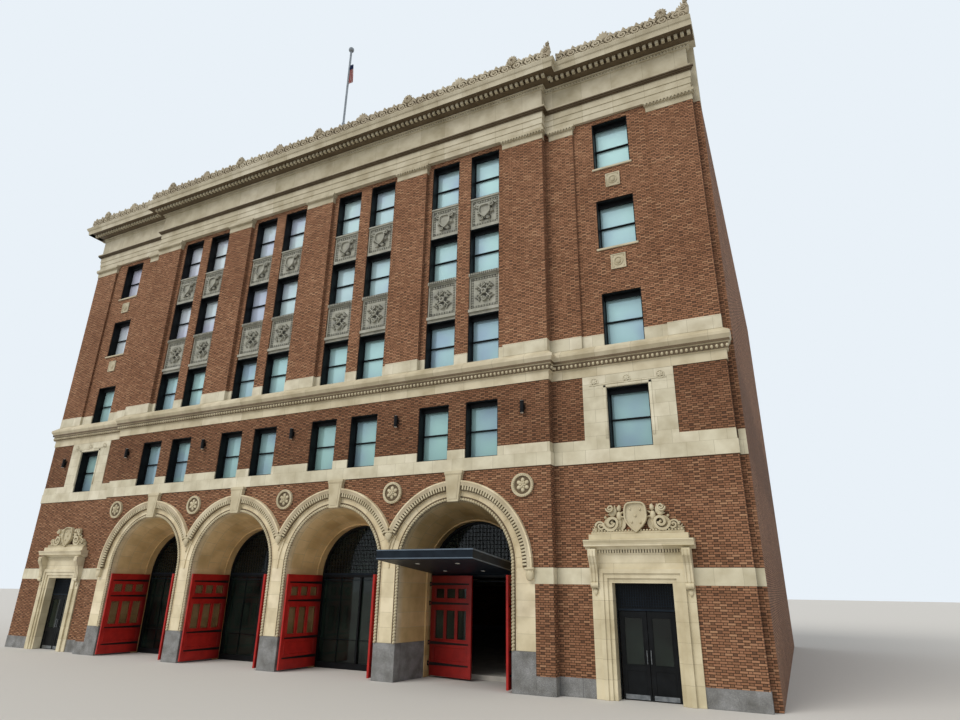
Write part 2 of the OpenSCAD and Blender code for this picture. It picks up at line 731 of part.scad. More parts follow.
module front_window_frames() color(black_metal) on_plot() front_windows(0) {
    window_frame(win2_out - win2_in, [sill_mid, head_2]);
    window_frame(window_w, [sills[0], heads[0]]);
    window_frame(window_w, [sills[1], heads[1]]);
    window_frame(window_w, [sills[2], heads[2]]);
    window_frame(2 * end_window_half, [sill_mid, head_2]);
    window_frame(2 * end_window_half, [sills[0], heads[0]]);
    window_frame(2 * end_window_half, [sills[1], heads[1]]);
    window_frame(2 * end_window_half, [sills[2], heads[2]]);
}

module pane(w, z) block([-w / 2, w / 2], [0, 20], z);

module front_window_glass() color(glass) on_plot() front_windows(70) {
    pane(win2_out - win2_in, [sill_mid, head_2]);
    pane(window_w, [sills[0], heads[0]]);
    pane(window_w, [sills[1], heads[1]]);
    pane(window_w, [sills[2], heads[2]]);
    pane(2 * end_window_half, [sill_mid, head_2]);
    pane(2 * end_window_half, [sills[0], heads[0]]);
    pane(2 * end_window_half, [sills[1], heads[1]]);
    pane(2 * end_window_half, [sills[2], heads[2]]);
}

storeys = [[sill_top, head_2], [block_top, heads[0]], [sills[1], heads[1]], [sills[2], heads[2]]];

module side_windows(inset) {
    for (y = side_window_ys) translate([-half_width + inset, y, 0]) rotate(-90) children();
    for (x = back_window_xs) translate([x, plot_depth - inset, 0]) rotate(180) children();
}

module side_window_frames() color(black_metal) on_plot() side_windows(200)
    for (z = storeys) window_frame(2 * end_window_half, z);

module side_window_glass() color(glass) on_plot() side_windows(270)
    for (z = storeys) pane(2 * end_window_half, z);

module wall_lights() color(black_metal) on_plot() {
    for (x = [-10080, -5025, 0, 5025, 10080]) translate([x, -110, 8450]) {
        cylinder(r = 70, h = 420);
        block([-60, 60], [60, 110], [120, 300]);
    }
    translate([-15380, end_y - 110, 8400]) {
        cylinder(r = 70, h = 420);
        block([-60, 60], [60, 110], [120, 300]);
    }
}

module flagpole() color("#8d8f92") on_plot() translate([-1850, 3000, roof_top]) {
    cylinder(r = 90, h = 6500);
    translate([0, 0, 6500]) cylinder(r = 60, h = 5400);
    translate([0, 0, 11900]) sphere(160);
}

module flag() color("#9a2b30") on_plot() translate([-1850 + 70, 3000, 30200]) block([0, 300], [-60, 60], [0, 1800]);

// A red leaf hangs from its pivot at the origin, shut along +X with its outside towards -Y
module red_leaf() {
    difference() {
        block([22, 22 + leaf_w], [0, leaf_t], [60, leaf_top]);
        for (i = [0 : 2]) {
            x = 230 + i * 490;
            block([x, x + 395], [-1, leaf_t + 1], [2530, 2870]);
            block([x, x + 395], [-1, leaf_t + 1], [1220, 2160]);
        }
        for (y = [[-1, 15], [leaf_t - 15, leaf_t + 1]]) block([230, leaf_w - 180], y, [560, 960]);
    }
    for (z = strap_zs) {
        translate([0, 0, z - 30]) cylinder(r = 16, h = 60);
        block([0, 24], [0, 16], [z - 30, z + 30]);
    }
}

module at_leaf(i, side, angle) translate([bays[i], 0, 0])
    mirror([side > 0 ? 1 : 0, 0, 0]) translate([-pivot_x, pivot_y, 0]) rotate(angle) children();

module hung_leaf(i, side, angle) color(red_paint) on_plot() at_leaf(i, side, angle) red_leaf();

module red_leaf_1_left() hung_leaf(0, -1, -leaf_open);
module red_leaf_1_right() hung_leaf(0, 1, -leaf_open);
module red_leaf_2_left() hung_leaf(1, -1, -leaf_open);
module red_leaf_2_right() hung_leaf(1, 1, -leaf_open);
module red_leaf_3_left() hung_leaf(2, -1, -leaf_open);
module red_leaf_3_right() hung_leaf(2, 1, -leaf_open);
module red_leaf_4_left() hung_leaf(3, -1, -leaf_ajar);
module red_leaf_4_right() hung_leaf(3, 1, -leaf_open);

module end_leaf() {
    w = door_half - 45 - 16 - 8 - 15;
    difference() {
        block([15, 15 + w], [-45, 0], [15, end_leaf_top]);
        block([140, w - 110], [-46, 1], [900, end_leaf_top - 160]);
        block([140, w - 110], [-46, -35], [180, 760]);
    }
    for (z = end_hinge_zs) {
        translate([0, 0, z - 30]) cylinder(r = 9, h = 60);
        block([0, 17], [-9, 0], [z - 30, z + 30]);
    }
}

module at_end_leaf(end, side) translate([end * door_x, 0, 0])
    mirror([side > 0 ? 1 : 0, 0, 0]) translate([-door_half + 61, door_plane + 45, 0]) children();

module hung_end_leaf(end, side) color(black_metal) on_plot() at_end_leaf(end, side) end_leaf();

// Each bracket carries a barrel above and below the leaf's own, on the same axis
module bracket(zs, r, reach) for (z = zs) {
    for (lift = [-65, 35]) translate([0, 0, z + lift]) {
        cylinder(r = r, h = 30);
        block([-reach, 0], [-5, 5], [0, 30]);
    }
    block([-reach, -reach + 6], [-r - 4, r + 4], [z - 75, z + 75]);
}

module hinge_brackets() color(black_metal) on_plot() {
    for (i = [0 : 3]) for (side = [-1, 1]) at_leaf(i, side, 0)
        bracket(strap_zs, 16, inner_r - pivot_x);
    for (end = [-1, 1]) for (side = [-1, 1]) at_end_leaf(end, side) bracket(end_hinge_zs, 9, 16);
}

module west_door_left() hung_end_leaf(-1, -1);
module west_door_right() hung_end_leaf(-1, 1);
module east_door_left() hung_end_leaf(1, -1);
module east_door_right() hung_end_leaf(1, 1);

granite_bases();
arcade_piers();
inner_jambs();
inner_arches();
arch_soffits();
archivolts();
keystones();
arch_pendants();
arcade_masonry();
arch_spandrels();
medallions();
impost_bands();
end_bay_piers();
door_surrounds();
door_crests();
door_frames();
storefront_frames();
storefront_glass();
canopy();
sill_band();
block_courses();
front_wall_piers();
front_wall_spandrels();
end_window_surrounds();
belt_cornice();
brick_pilasters();
pilaster_capitals();
spandrel_panels();
sills_and_plaques();
architrave();
frieze();
main_cornice();
cresting();
side_wall_piers();
side_wall_spandrels();
side_bands();
party_wall();
ground_slab();
floor_slabs();
roof_slab();
front_window_frames();
front_window_glass();
side_window_frames();
side_window_glass();
wall_lights();
flagpole();
flag();
hinge_brackets();
red_leaf_1_left();
red_leaf_1_right();
red_leaf_2_left();
red_leaf_2_right();
red_leaf_3_left();
red_leaf_3_right();
red_leaf_4_left();
red_leaf_4_right();
west_door_left();
west_door_right();
east_door_left();
east_door_right();
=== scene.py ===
# %% [markdown]
# # A brick and terracotta fire station, dressed step by step
# The real building is a corner block of five storeys. Four deep arches stand under it, and its upper floors are
# brown-red face brick between bands of cream terracotta. Its solids come ready made from a CAD program, in metres,
# with the street front facing -Y. This lesson gives them their finishes and adds the small forms, such as beads,
# dentils, straps and carving, that a CAD model of a whole building leaves out.
#
# The frame is loaded first, because every later piece is placed against it.

import math

import bmesh
import bpy
from mathutils import Matrix, Vector


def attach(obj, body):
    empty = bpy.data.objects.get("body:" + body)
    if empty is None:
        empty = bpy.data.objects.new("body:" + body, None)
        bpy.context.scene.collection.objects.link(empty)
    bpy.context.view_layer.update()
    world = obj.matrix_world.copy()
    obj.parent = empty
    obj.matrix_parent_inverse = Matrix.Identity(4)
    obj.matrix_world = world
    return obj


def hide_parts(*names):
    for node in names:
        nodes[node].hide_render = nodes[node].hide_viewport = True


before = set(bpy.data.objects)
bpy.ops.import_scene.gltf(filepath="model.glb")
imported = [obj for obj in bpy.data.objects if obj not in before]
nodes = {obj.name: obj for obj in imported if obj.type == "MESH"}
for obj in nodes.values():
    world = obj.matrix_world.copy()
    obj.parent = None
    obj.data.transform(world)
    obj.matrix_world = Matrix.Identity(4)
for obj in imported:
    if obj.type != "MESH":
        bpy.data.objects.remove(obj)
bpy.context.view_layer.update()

# %% [markdown]
# ## The camera
# The photographer stood across the street, to the right of the building, and tilted a wide lens upwards. Seven
# numbers describe that view: the focal length, the place of the lens, and three turns. They were found by matching
# some thirty corners of the building to the picture. A camera could be aimed with a Track To constraint instead,
# but that can't hold the slight roll, so its three axes are written straight into the object's matrix.

# %% Place the camera
focal_pixels, photo_pixels, sensor = 620.008, 960, 36
yaw, pitch, roll = 0.457628, 0.352792, 0.0138944
eye = Vector((17.7096, -30.8555, 2.8852))

ahead = Vector((-math.sin(yaw) * math.cos(pitch), math.cos(yaw) * math.cos(pitch), math.sin(pitch)))
level = Vector((math.cos(yaw), math.sin(yaw), 0))
upright = level.cross(ahead)
right = level * math.cos(roll) + upright * math.sin(roll)
up = upright * math.cos(roll) - level * math.sin(roll)

bpy.ops.object.camera_add()
camera = bpy.context.object
camera.name = "street_camera"
camera.matrix_world = Matrix((*((right[i], up[i], -ahead[i], eye[i]) for i in range(3)), (0, 0, 0, 1)))
camera.data.sensor_width = sensor
camera.data.lens = focal_pixels / photo_pixels * sensor
camera.data.clip_end = 500
bpy.context.scene.camera = camera
print("lens:", round(camera.data.lens, 2), "mm, eye height", round(eye.z, 2), "m")

# %% [markdown]
# ## Colours and nodes
# Paint charts give colours as sRGB hex values, while a shader works with linear light. One function turns the one
# into the other, so every colour below can be written as a painter would read it. A second function adds a shader
# node and wires it in one line: each value goes to a socket by its order, or by its name in a dictionary. A number
# is set on the socket, and a node or one of its outputs is linked to it. Stops are the colours of a ramp.

# %% Helpers for materials
def linear(hex_colour):
    parts = [int(hex_colour[i:i + 2], 16) / 255 for i in (1, 3, 5)]
    return [*(c / 12.92 if c <= 0.04045 else ((c + 0.055) / 1.055) ** 2.4 for c in parts), 1.0]


def outlet(value):
    """The output of a node that is in use; anything else stays as it is."""
    return next(s for s in value.outputs if s.enabled) if isinstance(value, bpy.types.Node) else value


def add(tree, kind, *values, stops=(), **settings):
    """Adds a node; a kind in capitals is the operation of a Math node."""
    node = tree.nodes.new("ShaderNode" + ("Math" if kind.isupper() else kind))
    for name, value in ({"operation": kind} if kind.isupper() else settings).items():
        setattr(node, name, value)
    inputs = values[0] if values and isinstance(values[0], dict) else dict(enumerate(values))
    for name, value in inputs.items():
        if isinstance(outlet(value), bpy.types.NodeSocket):
            tree.links.new(outlet(value), node.inputs[name])
        else:
            node.inputs[name].default_value = value
    for i, (place, colour) in enumerate(stops):
        elements = node.color_ramp.elements
        while len(elements) < len(stops):
            elements.new(0.5)
        elements[i].position, elements[i].color = place, linear(colour)
    return node


print("mid brown is", [round(c, 3) for c in linear("#7d5a45")[:3]])

# %% A new material, and the end of its wiring
def blank(name, **shader):
    """A new material, its node tree, and the output that gives each point's place on the object."""
    made = bpy.data.materials.new(name)
    made.use_nodes = True
    for socket, value in shader.items():
        made.node_tree.nodes["Principled BSDF"].inputs[socket.replace("_", " ")].default_value = value
    return made, made.node_tree, add(made.node_tree, "TexCoord").outputs["Object"]


def wire(tree, colour, height=None, strength=0.2, distance=0.004):
    """Sends a colour to the surface and, if there is one, a height to its bump."""
    surface = tree.nodes["Principled BSDF"]
    tree.links.new(outlet(colour), surface.inputs["Base Color"])
    if height is not None:
        relief = add(tree, "Bump", {"Height": height, "Strength": strength, "Distance": distance})
        tree.links.new(relief.outputs[0], surface.inputs["Normal"])


blended = {"data_type": "RGBA"}
multiplied = {"data_type": "RGBA", "blend_type": "MULTIPLY"}
print("a Mix node's colours are its sockets 6 and 7")

# %% [markdown]
# ## Floor, sky and lamps
# The building is shown on a plain pale floor, under soft light at the level at which a colour looks as it was
# written. An overcast sky gives most of it, and a broad sun from the upper left gives the cornice its shadow. The
# floor could be a huge box, but a single face is enough, because nobody sees its edge.

# %% Floor and sky
bpy.ops.object.select_all(action="DESELECT")
bpy.ops.mesh.primitive_plane_add(size=600, location=(0, 0, -0.002))
floor = bpy.context.object
floor.name = "studio_floor"
floor_paint, tree, here = blank("pale_studio_floor", Roughness=0.9, Base_Color=linear("#c9c6c0"))
floor.data.materials.append(floor_paint)

world = bpy.data.worlds.new("overcast_sky")
bpy.context.scene.world = world
world.use_nodes = True
tree = world.node_tree
tree.nodes.clear()
sky_light = 0.7
seen = add(tree, "Background", {"Color": linear("#e9f1f8"), "Strength": 1.0})
shed = add(tree, "Background", {"Color": linear("#f1f4f8"), "Strength": sky_light})
rays = add(tree, "LightPath").outputs
mirror_or_eye = add(tree, "MAXIMUM", rays["Is Camera Ray"], rays["Is Glossy Ray"])
any_seen = add(tree, "MAXIMUM", mirror_or_eye, rays["Is Transmission Ray"])
add(tree, "OutputWorld", {"Surface": add(tree, "MixShader", any_seen, shed, seen)})

bpy.ops.object.light_add(type="SUN", rotation=(math.radians(48), 0, math.radians(-28)))
sun = bpy.context.object
sun.name = "broad_sun"
sun.data.energy = 1.95
sun.data.angle = math.radians(40)
sun.data.color = (1.0, 0.97, 0.92)
sun.visible_glossy = False  # the window panes would show it as a white disc
bpy.context.scene.view_settings.view_transform = "Standard"
print("sun:", sun.data.energy, "sky:", sky_light)

# %% [markdown]
# ## Face brick
# The walls are laid in brown-red bricks. Each course sets a long stretcher beside a short, darker header, and the
# next course is shifted by half, so that the headers lie on slanting lines. From across the street this reads as a
# fine speckle. The two bricks form one pattern cell, and a modulo folds the wall on to that cell. It is laid on two
# numbers: the height, and the distance along the wall, which is X on the front and Y on the sides. The normal picks
# between them.

# %% The cell of the brick pattern
course = 0.0677   # one course of brick with its joint
header = 0.107    # one header with its joint
cell = 0.32       # a stretcher and a header with their joints


def wall_distance(tree, here):
    """The distance along the wall, and the height."""
    parts = add(tree, "SeparateXYZ", here).outputs
    facing = add(tree, "SeparateXYZ", here.node.outputs["Normal"]).outputs
    sideways = add(tree, "ABSOLUTE", facing["X"])
    on_side = add(tree, "GREATER_THAN", sideways, 0.7)
    return add(tree, "Mix", {0: on_side, 2: parts["X"], 3: parts["Y"]}), parts["Z"]


brick, tree, here = blank("brown_red_face_brick", Roughness=0.9, Specular_IOR_Level=0.25)
along, height = wall_distance(tree, here)
rows = add(tree, "DIVIDE", height, course)
row_number = add(tree, "FLOOR", rows)
odd = add(tree, "FLOORED_MODULO", row_number, 2.0)
half_cell = add(tree, "MULTIPLY", odd, cell / 2)
shifted = add(tree, "ADD", along, half_cell)
in_cell = add(tree, "FLOORED_MODULO", shifted, cell)
is_header = add(tree, "LESS_THAN", in_cell, header)
cell_number = add(tree, "FLOOR", add(tree, "DIVIDE", shifted, cell))
print("brick cell:", course, "x", cell, "m")

# %% Clay, joints and weather
key = add(tree, "CombineXYZ", cell_number, row_number, is_header)
chance = add(tree, "TexWhiteNoise", {"Vector": key}, noise_dimensions="3D")
long_clay = add(tree, "ValToRGB", chance,
                stops=[(0.0, "#91694f"), (0.3, "#9c7155"), (0.7, "#a77b5e"), (1.0, "#b68d6d")])
short_clay = add(tree, "ValToRGB", chance, stops=[(0.0, "#6a4e3d"), (0.5, "#856249"), (1.0, "#a67b5f")])
clay = add(tree, "Mix", {0: is_header, 6: long_clay, 7: short_clay}, **blended)

to_header = add(tree, "ABSOLUTE", add(tree, "SUBTRACT", in_cell, header))
to_end = add(tree, "SUBTRACT", cell, in_cell)
to_end = add(tree, "MINIMUM", in_cell, to_end)
to_edge = add(tree, "MINIMUM", to_header, to_end)
in_row = add(tree, "MULTIPLY", add(tree, "FRACT", rows), course)
to_bed = add(tree, "MINIMUM", in_row, add(tree, "SUBTRACT", course, in_row))
to_joint = add(tree, "MINIMUM", to_bed, to_edge)
joint_mask = add(tree, "LESS_THAN", to_joint, 0.0075)

drift = add(tree, "TexNoise", {"Vector": here, "Scale": 0.35, "Detail": 4.0})
weather = add(tree, "ValToRGB", drift, stops=[(0.3, "#e2dcd8"), (0.7, "#ffffff")])
stained = add(tree, "Mix", {0: 1.0, 6: clay, 7: weather}, **multiplied)
lift = add(tree, "DIVIDE", height, 20.0)
grime = add(tree, "ValToRGB", lift, stops=[(0.32, "#f4f3f2"), (0.36, "#d8d5d2"), (0.47, "#dad7d5"), (0.53, "#ffffff")])
aged = add(tree, "Mix", {0: 1.0, 6: stained, 7: grime}, **multiplied)
laid = add(tree, "Mix", {0: joint_mask, 6: aged, 7: linear("#35281f")}, **blended)
wire(tree, laid, add(tree, "SUBTRACT", 1.0, joint_mask), 0.6, 0.008)
print("brick nodes:", len(tree.nodes))

# %% [markdown]
# ## Terracotta
# The cream parts are hollow blocks of fired clay with a matt glaze. Each block came from the kiln a little lighter
# or darker, and rain has left patches of soot on it. Higher up the glaze turns cooler and greyer. Under the arches
# it is painted warmer and darker inwards, for the warm light from the paving and the shade deep inside. The
# blocks differ in size from band to band, so one function makes the finish for a given block size. A photograph of
# stone could be wrapped round the parts, but it would blur at this size, while joints that are worked out stay sharp.

# %% The glaze
def glaze(tree, here, blocks, tones, joint):
    """Colour and pits of the glaze. The blocks' colour picks each one's shade, and their second output is the joint."""
    tone, joint_mask = blocks.outputs["Color"], blocks.outputs["Fac"]
    body = add(tree, "ValToRGB", tone, stops=[*zip((0.0, 0.5, 1.0), tones)])
    cloud = add(tree, "TexNoise", {"Vector": here, "Scale": 1.6, "Detail": 6.0})
    soot = add(tree, "ValToRGB", cloud, stops=[(0.3, "#dedad2"), (0.62, "#ffffff")])
    sooty = add(tree, "Mix", {0: 1.0, 6: body, 7: soot}, **multiplied)
    parts = add(tree, "SeparateXYZ", here).outputs
    # the glaze turns a little cooler and greyer towards the top
    height = add(tree, "DIVIDE", parts["Z"], 23.0)
    greyed = add(tree, "ValToRGB", height, stops=[(0.1, "#ffffff"), (0.5, "#f8f8fb"), (0.9, "#eaecf2")])
    greyer_towards_top = add(tree, "Mix", {0: 1.0, 6: sooty, 7: greyed}, **multiplied)
    # painted light: under the front arches the glaze is tinted warmer and darker inwards, for the warm light from the
    # paving and the shade deeper in
    depth = add(tree, "ADD", parts["Y"], 11.95)
    painted_arch_light = add(tree, "ValToRGB", depth, stops=[(0.0, "#ffffff"), (0.3, "#f8e6c8"), (1.0, "#f3dcb8")])
    aside = add(tree, "ABSOLUTE", parts["X"])
    low, in_arcade, in_front = (add(tree, "LESS_THAN", part, limit)
                                for part, limit in ((parts["Z"], 5.9), (aside, 10.9), (parts["Y"], -6.0)))
    painted_arch_zone = add(tree, "MULTIPLY", add(tree, "MULTIPLY", low, in_arcade), in_front)
    warm = add(tree, "Mix", {0: painted_arch_zone, 6: greyer_towards_top, 7: painted_arch_light}, **multiplied)
    jointed = add(tree, "Mix", {0: joint_mask, 6: warm, 7: linear(joint)}, **blended)
    pits = add(tree, "TexNoise", {"Vector": here, "Scale": 60.0, "Detail": 2.0})
    wire(tree, jointed, add(tree, "SUBTRACT", pits, joint_mask), 0.25, 0.004)


bond = {"Color1": (0, 0, 0, 1), "Color2": (1, 1, 1, 1), "Mortar": (0.5, 0.5, 0.5, 1), "Scale": 1.0,
        "Mortar Size": 0.006, "Mortar Smooth": 0.2, "Bias": 0.0}
print("joints are drawn", 2 * bond["Mortar Size"], "m wide")

# %% Terracotta for straight work
def glazed_blocks(name, width, height, base=0.0, tones=("#c6bb9c", "#d1c6a8", "#dad0b4"), joint="#938970", start=0.0):
    made, tree, here = blank(name, Roughness=0.55)
    along, up_wall = wall_distance(tree, here)
    shifted = add(tree, "ADD", along, start)
    lifted = add(tree, "SUBTRACT", up_wall, base)
    blocks = add(tree, "TexBrick", {**bond, "Vector": add(tree, "CombineXYZ", shifted, lifted), "Mortar Size": 0.005,
                                    "Brick Width": width, "Row Height": height})
    glaze(tree, here, blocks, tones, joint)
    return made


def plain_clay(name, width, *tones):
    """Carved work, whose blocks are so large that almost no joint shows."""
    return glazed_blocks(name, width, 90.0, 3.0, *tones)


bright, pale = ("#ddd0af", "#e5d8b8", "#ecdfc2"), ("#cdc6ac", "#d6cfb5", "#dfd8c0")
pier_blocks = glazed_blocks("cream_terracotta_pier_blocks", 5.025, 0.472, 1.146, bright, "#b9ac8a", 1.2563)
surround_blocks = glazed_blocks("cream_terracotta_surround_blocks", 3.0, 0.52, 0.0, ("#cec3a3", "#d8cdae", "#e0d6ba"),
                                "#a89c7e", 0.7)
band_blocks = glazed_blocks("cream_terracotta_band_blocks", 0.76, 3.3, 0.9, pale, "#a39a82")
course_blocks = glazed_blocks("cream_terracotta_courses", 0.78, 0.4365, 6.654, pale, "#a39a82")
cornice_blocks = glazed_blocks("cream_terracotta_cornice_blocks", 1.2, 40.0)
ornament = plain_clay("cream_terracotta_ornament", 90.0)
# painted shade: a dark brown clay for the pieces that stand in for the shade in hollows
shade_brown_clay = plain_clay("painted_shade_brown_terracotta", 90.0, ("#5f4f38", "#6b5a41", "#77664b"))
crest_clay = plain_clay("weathered_cresting_terracotta", 1.2, ("#b3a58a", "#c2b598", "#d0c5a9"))
print("terracotta finishes for straight work and carving: 8")

# %% [markdown]
# ## Terracotta round the arches
# The blocks of an arch are wedges, and every joint between them points at the arch's centre. So their pattern is
# laid on the angle about that centre. The four arches stand at equal distances, which lets one floored modulo
# fold the whole front on to a single arch. On the soffit the same joints run inwards, crossed by joints in depth.

# %% Terracotta for the arches
bay_pitch, arch_height = 5.025, 3.581
centres = [(i - 1.5) * bay_pitch for i in range(4)]
wedge_radius, wedge_width = 2.1, 0.5498


def street(depth):
    """Depth behind the street face, as a Y coordinate."""
    return depth - 12.0


wedge_blocks, tree, here = blank("cream_terracotta_wedge_blocks", Roughness=0.55)
parts = add(tree, "SeparateXYZ", here).outputs
folded = add(tree, "FLOORED_MODULO", parts["X"], bay_pitch)
aside = add(tree, "SUBTRACT", folded, bay_pitch / 2)
above = add(tree, "SUBTRACT", parts["Z"], 3.5)
angle = add(tree, "ARCTAN2", above, aside)
around = add(tree, "MULTIPLY", angle, wedge_radius)
inward = add(tree, "ADD", parts["Y"], 12.27)
spot = add(tree, "CombineXYZ", around, inward)
wedges = add(tree, "TexBrick", {**bond, "Vector": spot, "Brick Width": wedge_width, "Row Height": 0.53})
glaze(tree, here, wedges, ("#dccdaa", "#e4d6b4", "#eadec0"), "#aa9d7c")
print("wedge blocks:", round(math.pi * wedge_radius / wedge_width), "to a half circle")

# %% [markdown]
# ## Granite and the grey spandrels
# The piers stand on grey granite, which was sawn and then dressed, and so do the bands of the side street. Its look
# comes from grains of dark mica and pale feldspar a few millimetres wide, which are drawn coarser here because finer
# ones would vanish. The panels between the windows are grey-green terracotta, and dark plates behind their reliefs
# stand in for the shade in the hollows.

# %% Granite
grain = 1 / 70


def granite_grains(tree, here):
    """The grains of the stone, and their colour."""
    grains = add(tree, "TexVoronoi", {"Vector": here, "Scale": 1 / grain})
    return grains, add(tree, "ValToRGB", grains, stops=[(0.0, "#5c5d5f"), (0.35, "#7d7e7f"), (0.8, "#a0a09e")])


granite, tree, here = blank("dressed_grey_granite", Roughness=0.7)
spot = add(tree, "CombineXYZ", *wall_distance(tree, here))
slabs = add(tree, "TexBrick", {**bond, "Vector": spot, "Brick Width": 2.6, "Row Height": 1.146})
grains, speckle = granite_grains(tree, here)
cloud = add(tree, "TexNoise", {"Vector": here, "Scale": 2.5, "Detail": 5.0})
tone = add(tree, "ValToRGB", cloud, stops=[(0.3, "#bcbab5"), (0.7, "#ffffff")])
mottled = add(tree, "Mix", {0: 1.0, 6: speckle, 7: tone}, **multiplied)
jointed = add(tree, "Mix", {0: slabs.outputs["Fac"], 6: mottled, 7: linear("#4a4947")}, **blended)
wire(tree, jointed, grains)

side_courses = glazed_blocks("cream_terracotta_bands_over_a_granite_foot", 0.78, 0.4365, 6.654, pale, "#a39a82")
tree = side_courses.node_tree
here = add(tree, "TexCoord").outputs["Object"]
foot = add(tree, "LESS_THAN", add(tree, "SeparateXYZ", here).outputs["Z"], 0.7)
cream = tree.nodes["Principled BSDF"].inputs["Base Color"].links[0].from_socket
wire(tree, add(tree, "Mix", {0: foot, 6: cream, 7: granite_grains(tree, here)[1]}, **blended))
print("granite grains drawn at", round(1000 * grain), "mm")

# %% Grey terracotta
grey_glaze, tree, here = blank("grey_glazed_terracotta", Roughness=0.5)
cloud = add(tree, "TexNoise", {"Vector": here, "Scale": 3.0, "Detail": 6.0})
tone = add(tree, "ValToRGB", cloud, stops=[(0.3, "#86857c"), (0.5, "#989789"), (0.72, "#aaa99e")])
wire(tree, tone, add(tree, "TexNoise", {"Vector": here, "Scale": 45.0, "Detail": 2.0}), 0.3, 0.005)

# painted shade: a dark grey for the plates and halos behind the reliefs
grey_shade, tree, here = blank("painted_shade_grey_terracotta", Roughness=0.7)
cloud = add(tree, "TexNoise", {"Vector": here, "Scale": 5.0, "Detail": 5.0})
wire(tree, add(tree, "ValToRGB", cloud, stops=[(0.3, "#403f39"), (0.7, "#58574f")]))
print("grey finishes: panel and hollow")

# %% [markdown]
# ## Paint, metal and concrete
# The leaves of the engine bays are painted wood, in a deep red gloss that shows faint brush marks. The window and
# shop fronts are steel with a blue-black satin paint. One function makes a painted or cast finish from a base
# colour, a second tone that noise mixes in, and the size of its marks. The red is multiplied by a grey that deepens
# from the street inwards, because the leaves stand in the shade of their arches.

# %% Plain coated finishes
def coated(name, first, second, size, roughness, bump, metallic=0.0, gloss=0.5):
    made, tree, here = blank(name, Roughness=roughness, Metallic=metallic, Specular_IOR_Level=gloss)
    marks = add(tree, "TexNoise", {"Vector": here, "Scale": 1 / size, "Detail": 5.0})
    colour = add(tree, "ValToRGB", marks, stops=[(0.32, first), (0.68, second)])
    wire(tree, colour, add(tree, "TexNoise", {"Vector": here, "Scale": 8 / size, "Detail": 3.0}), 0.2, bump)
    return made


red_gloss = coated("red_gloss_paint_on_wood", "#9a1d18", "#b2261f", 0.3, 0.38, 0.001, gloss=0.35)
black_paint = coated("blue_black_satin_paint_on_steel", "#0d0e0f", "#151719", 0.25, 0.45, 0.0005, gloss=0.15)
canopy_paint = coated("dark_blue_grey_paint_on_sheet_steel", "#111820", "#1a232c", 0.4, 0.48, 0.0005, gloss=0.15)
iron_straps = coated("black_painted_wrought_iron", "#0c0c0d", "#181616", 0.08, 0.5, 0.002, gloss=0.25)
poured_concrete = coated("grey_poured_concrete", "#a9a69d", "#bfbbb1", 0.5, 0.9, 0.003)
roof_felt = coated("grey_mineral_roofing_felt", "#77756f", "#908d85", 0.4, 0.95, 0.004)
pole_steel = coated("weathered_galvanised_steel", "#7d8083", "#a0a3a5", 0.12, 0.45, 0.0006, 1.0)
# painted highlight: the lighter blue-grey stands in for the light that the canopy's edges catch
lip_highlight_paint = coated("blue_grey_painted_highlight_edge", "#4a5663", "#5c6975", 0.3, 0.4, 0.0005)
lamp_lens = coated("frosted_lamp_lens", "#e9e4d2", "#fbf8ee", 0.05, 0.35, 0.0005)

tree = red_gloss.node_tree
fresh = tree.nodes["Principled BSDF"].inputs["Base Color"].links[0].from_socket
place = add(tree, "SeparateXYZ", add(tree, "TexCoord").outputs["Object"]).outputs["Y"]
inside = add(tree, "ADD", place, 11.0)
shade = add(tree, "ValToRGB", inside, stops=[(0.2, "#ffffff"), (0.75, "#a39b9b")])
wire(tree, add(tree, "Mix", {0: 1.0, 6: fresh, 7: shade}, **multiplied))
print("coated finishes: 9")

# %% [markdown]
# ## Glass
# Clear glass would need light to bend through two faces of every pane, which is slow and leaves the rooms black.
# A pane here lets part of the light pass straight through, by its Alpha. The rest has a pale blue-green colour: the
# tint of a thin film of metal oxide together with a painted reflection of the sky, in patches. The painted sky is
# darker on the lower storeys and whiter in the left bays of the upper storeys. The shop fronts are painted darker,
# in patches, for the reflection of what stands across the street and the dark rooms behind them.

# %% Glass
window_glass, tree, here = blank("window_glass_with_painted_sky", Roughness=0.09, IOR=1.52, Alpha=0.8, Metallic=0.22)
# painted reflection: the pale blue-green is the film's tint together with a painted reflection of the sky, in patches
sky_patch = add(tree, "TexNoise", {"Vector": here, "Scale": 0.45, "Detail": 2.0})
tint_and_painted_sky = add(tree, "ValToRGB", sky_patch, stops=[(0.36, "#b8d3e6"), (0.46, "#c6e8ee"), (0.6, "#cdf4f3")])
# painted reflection: a whiter sky in the left bays of the upper storeys
painted_white_sky = add(tree, "ValToRGB", sky_patch, stops=[(0.36, "#dcdff3"), (0.6, "#e6f1f6")])
parts = add(tree, "SeparateXYZ", here).outputs
across = add(tree, "DIVIDE", parts["X"], 16.0)
leftward = add(tree, "SUBTRACT", 0.45, across)
upper = add(tree, "GREATER_THAN", parts["Z"], 13.9)
painted_white_sky_mask = add(tree, "MULTIPLY", leftward, upper)
tint_and_painted_sky = add(tree, "Mix", {0: painted_white_sky_mask, 6: tint_and_painted_sky, 7: painted_white_sky}, **blended)
# painted reflection: the sky is painted darker on the lower storeys and paler towards the top
height = add(tree, "DIVIDE", parts["Z"], 20.0)
mirrored = add(tree, "ValToRGB", height, stops=[(0.35, "#ccd6d2"), (0.6, "#f0f4f6"), (0.9, "#ffffff")])
wire(tree, add(tree, "Mix", {0: 1.0, 6: tint_and_painted_sky, 7: mirrored}, **multiplied))

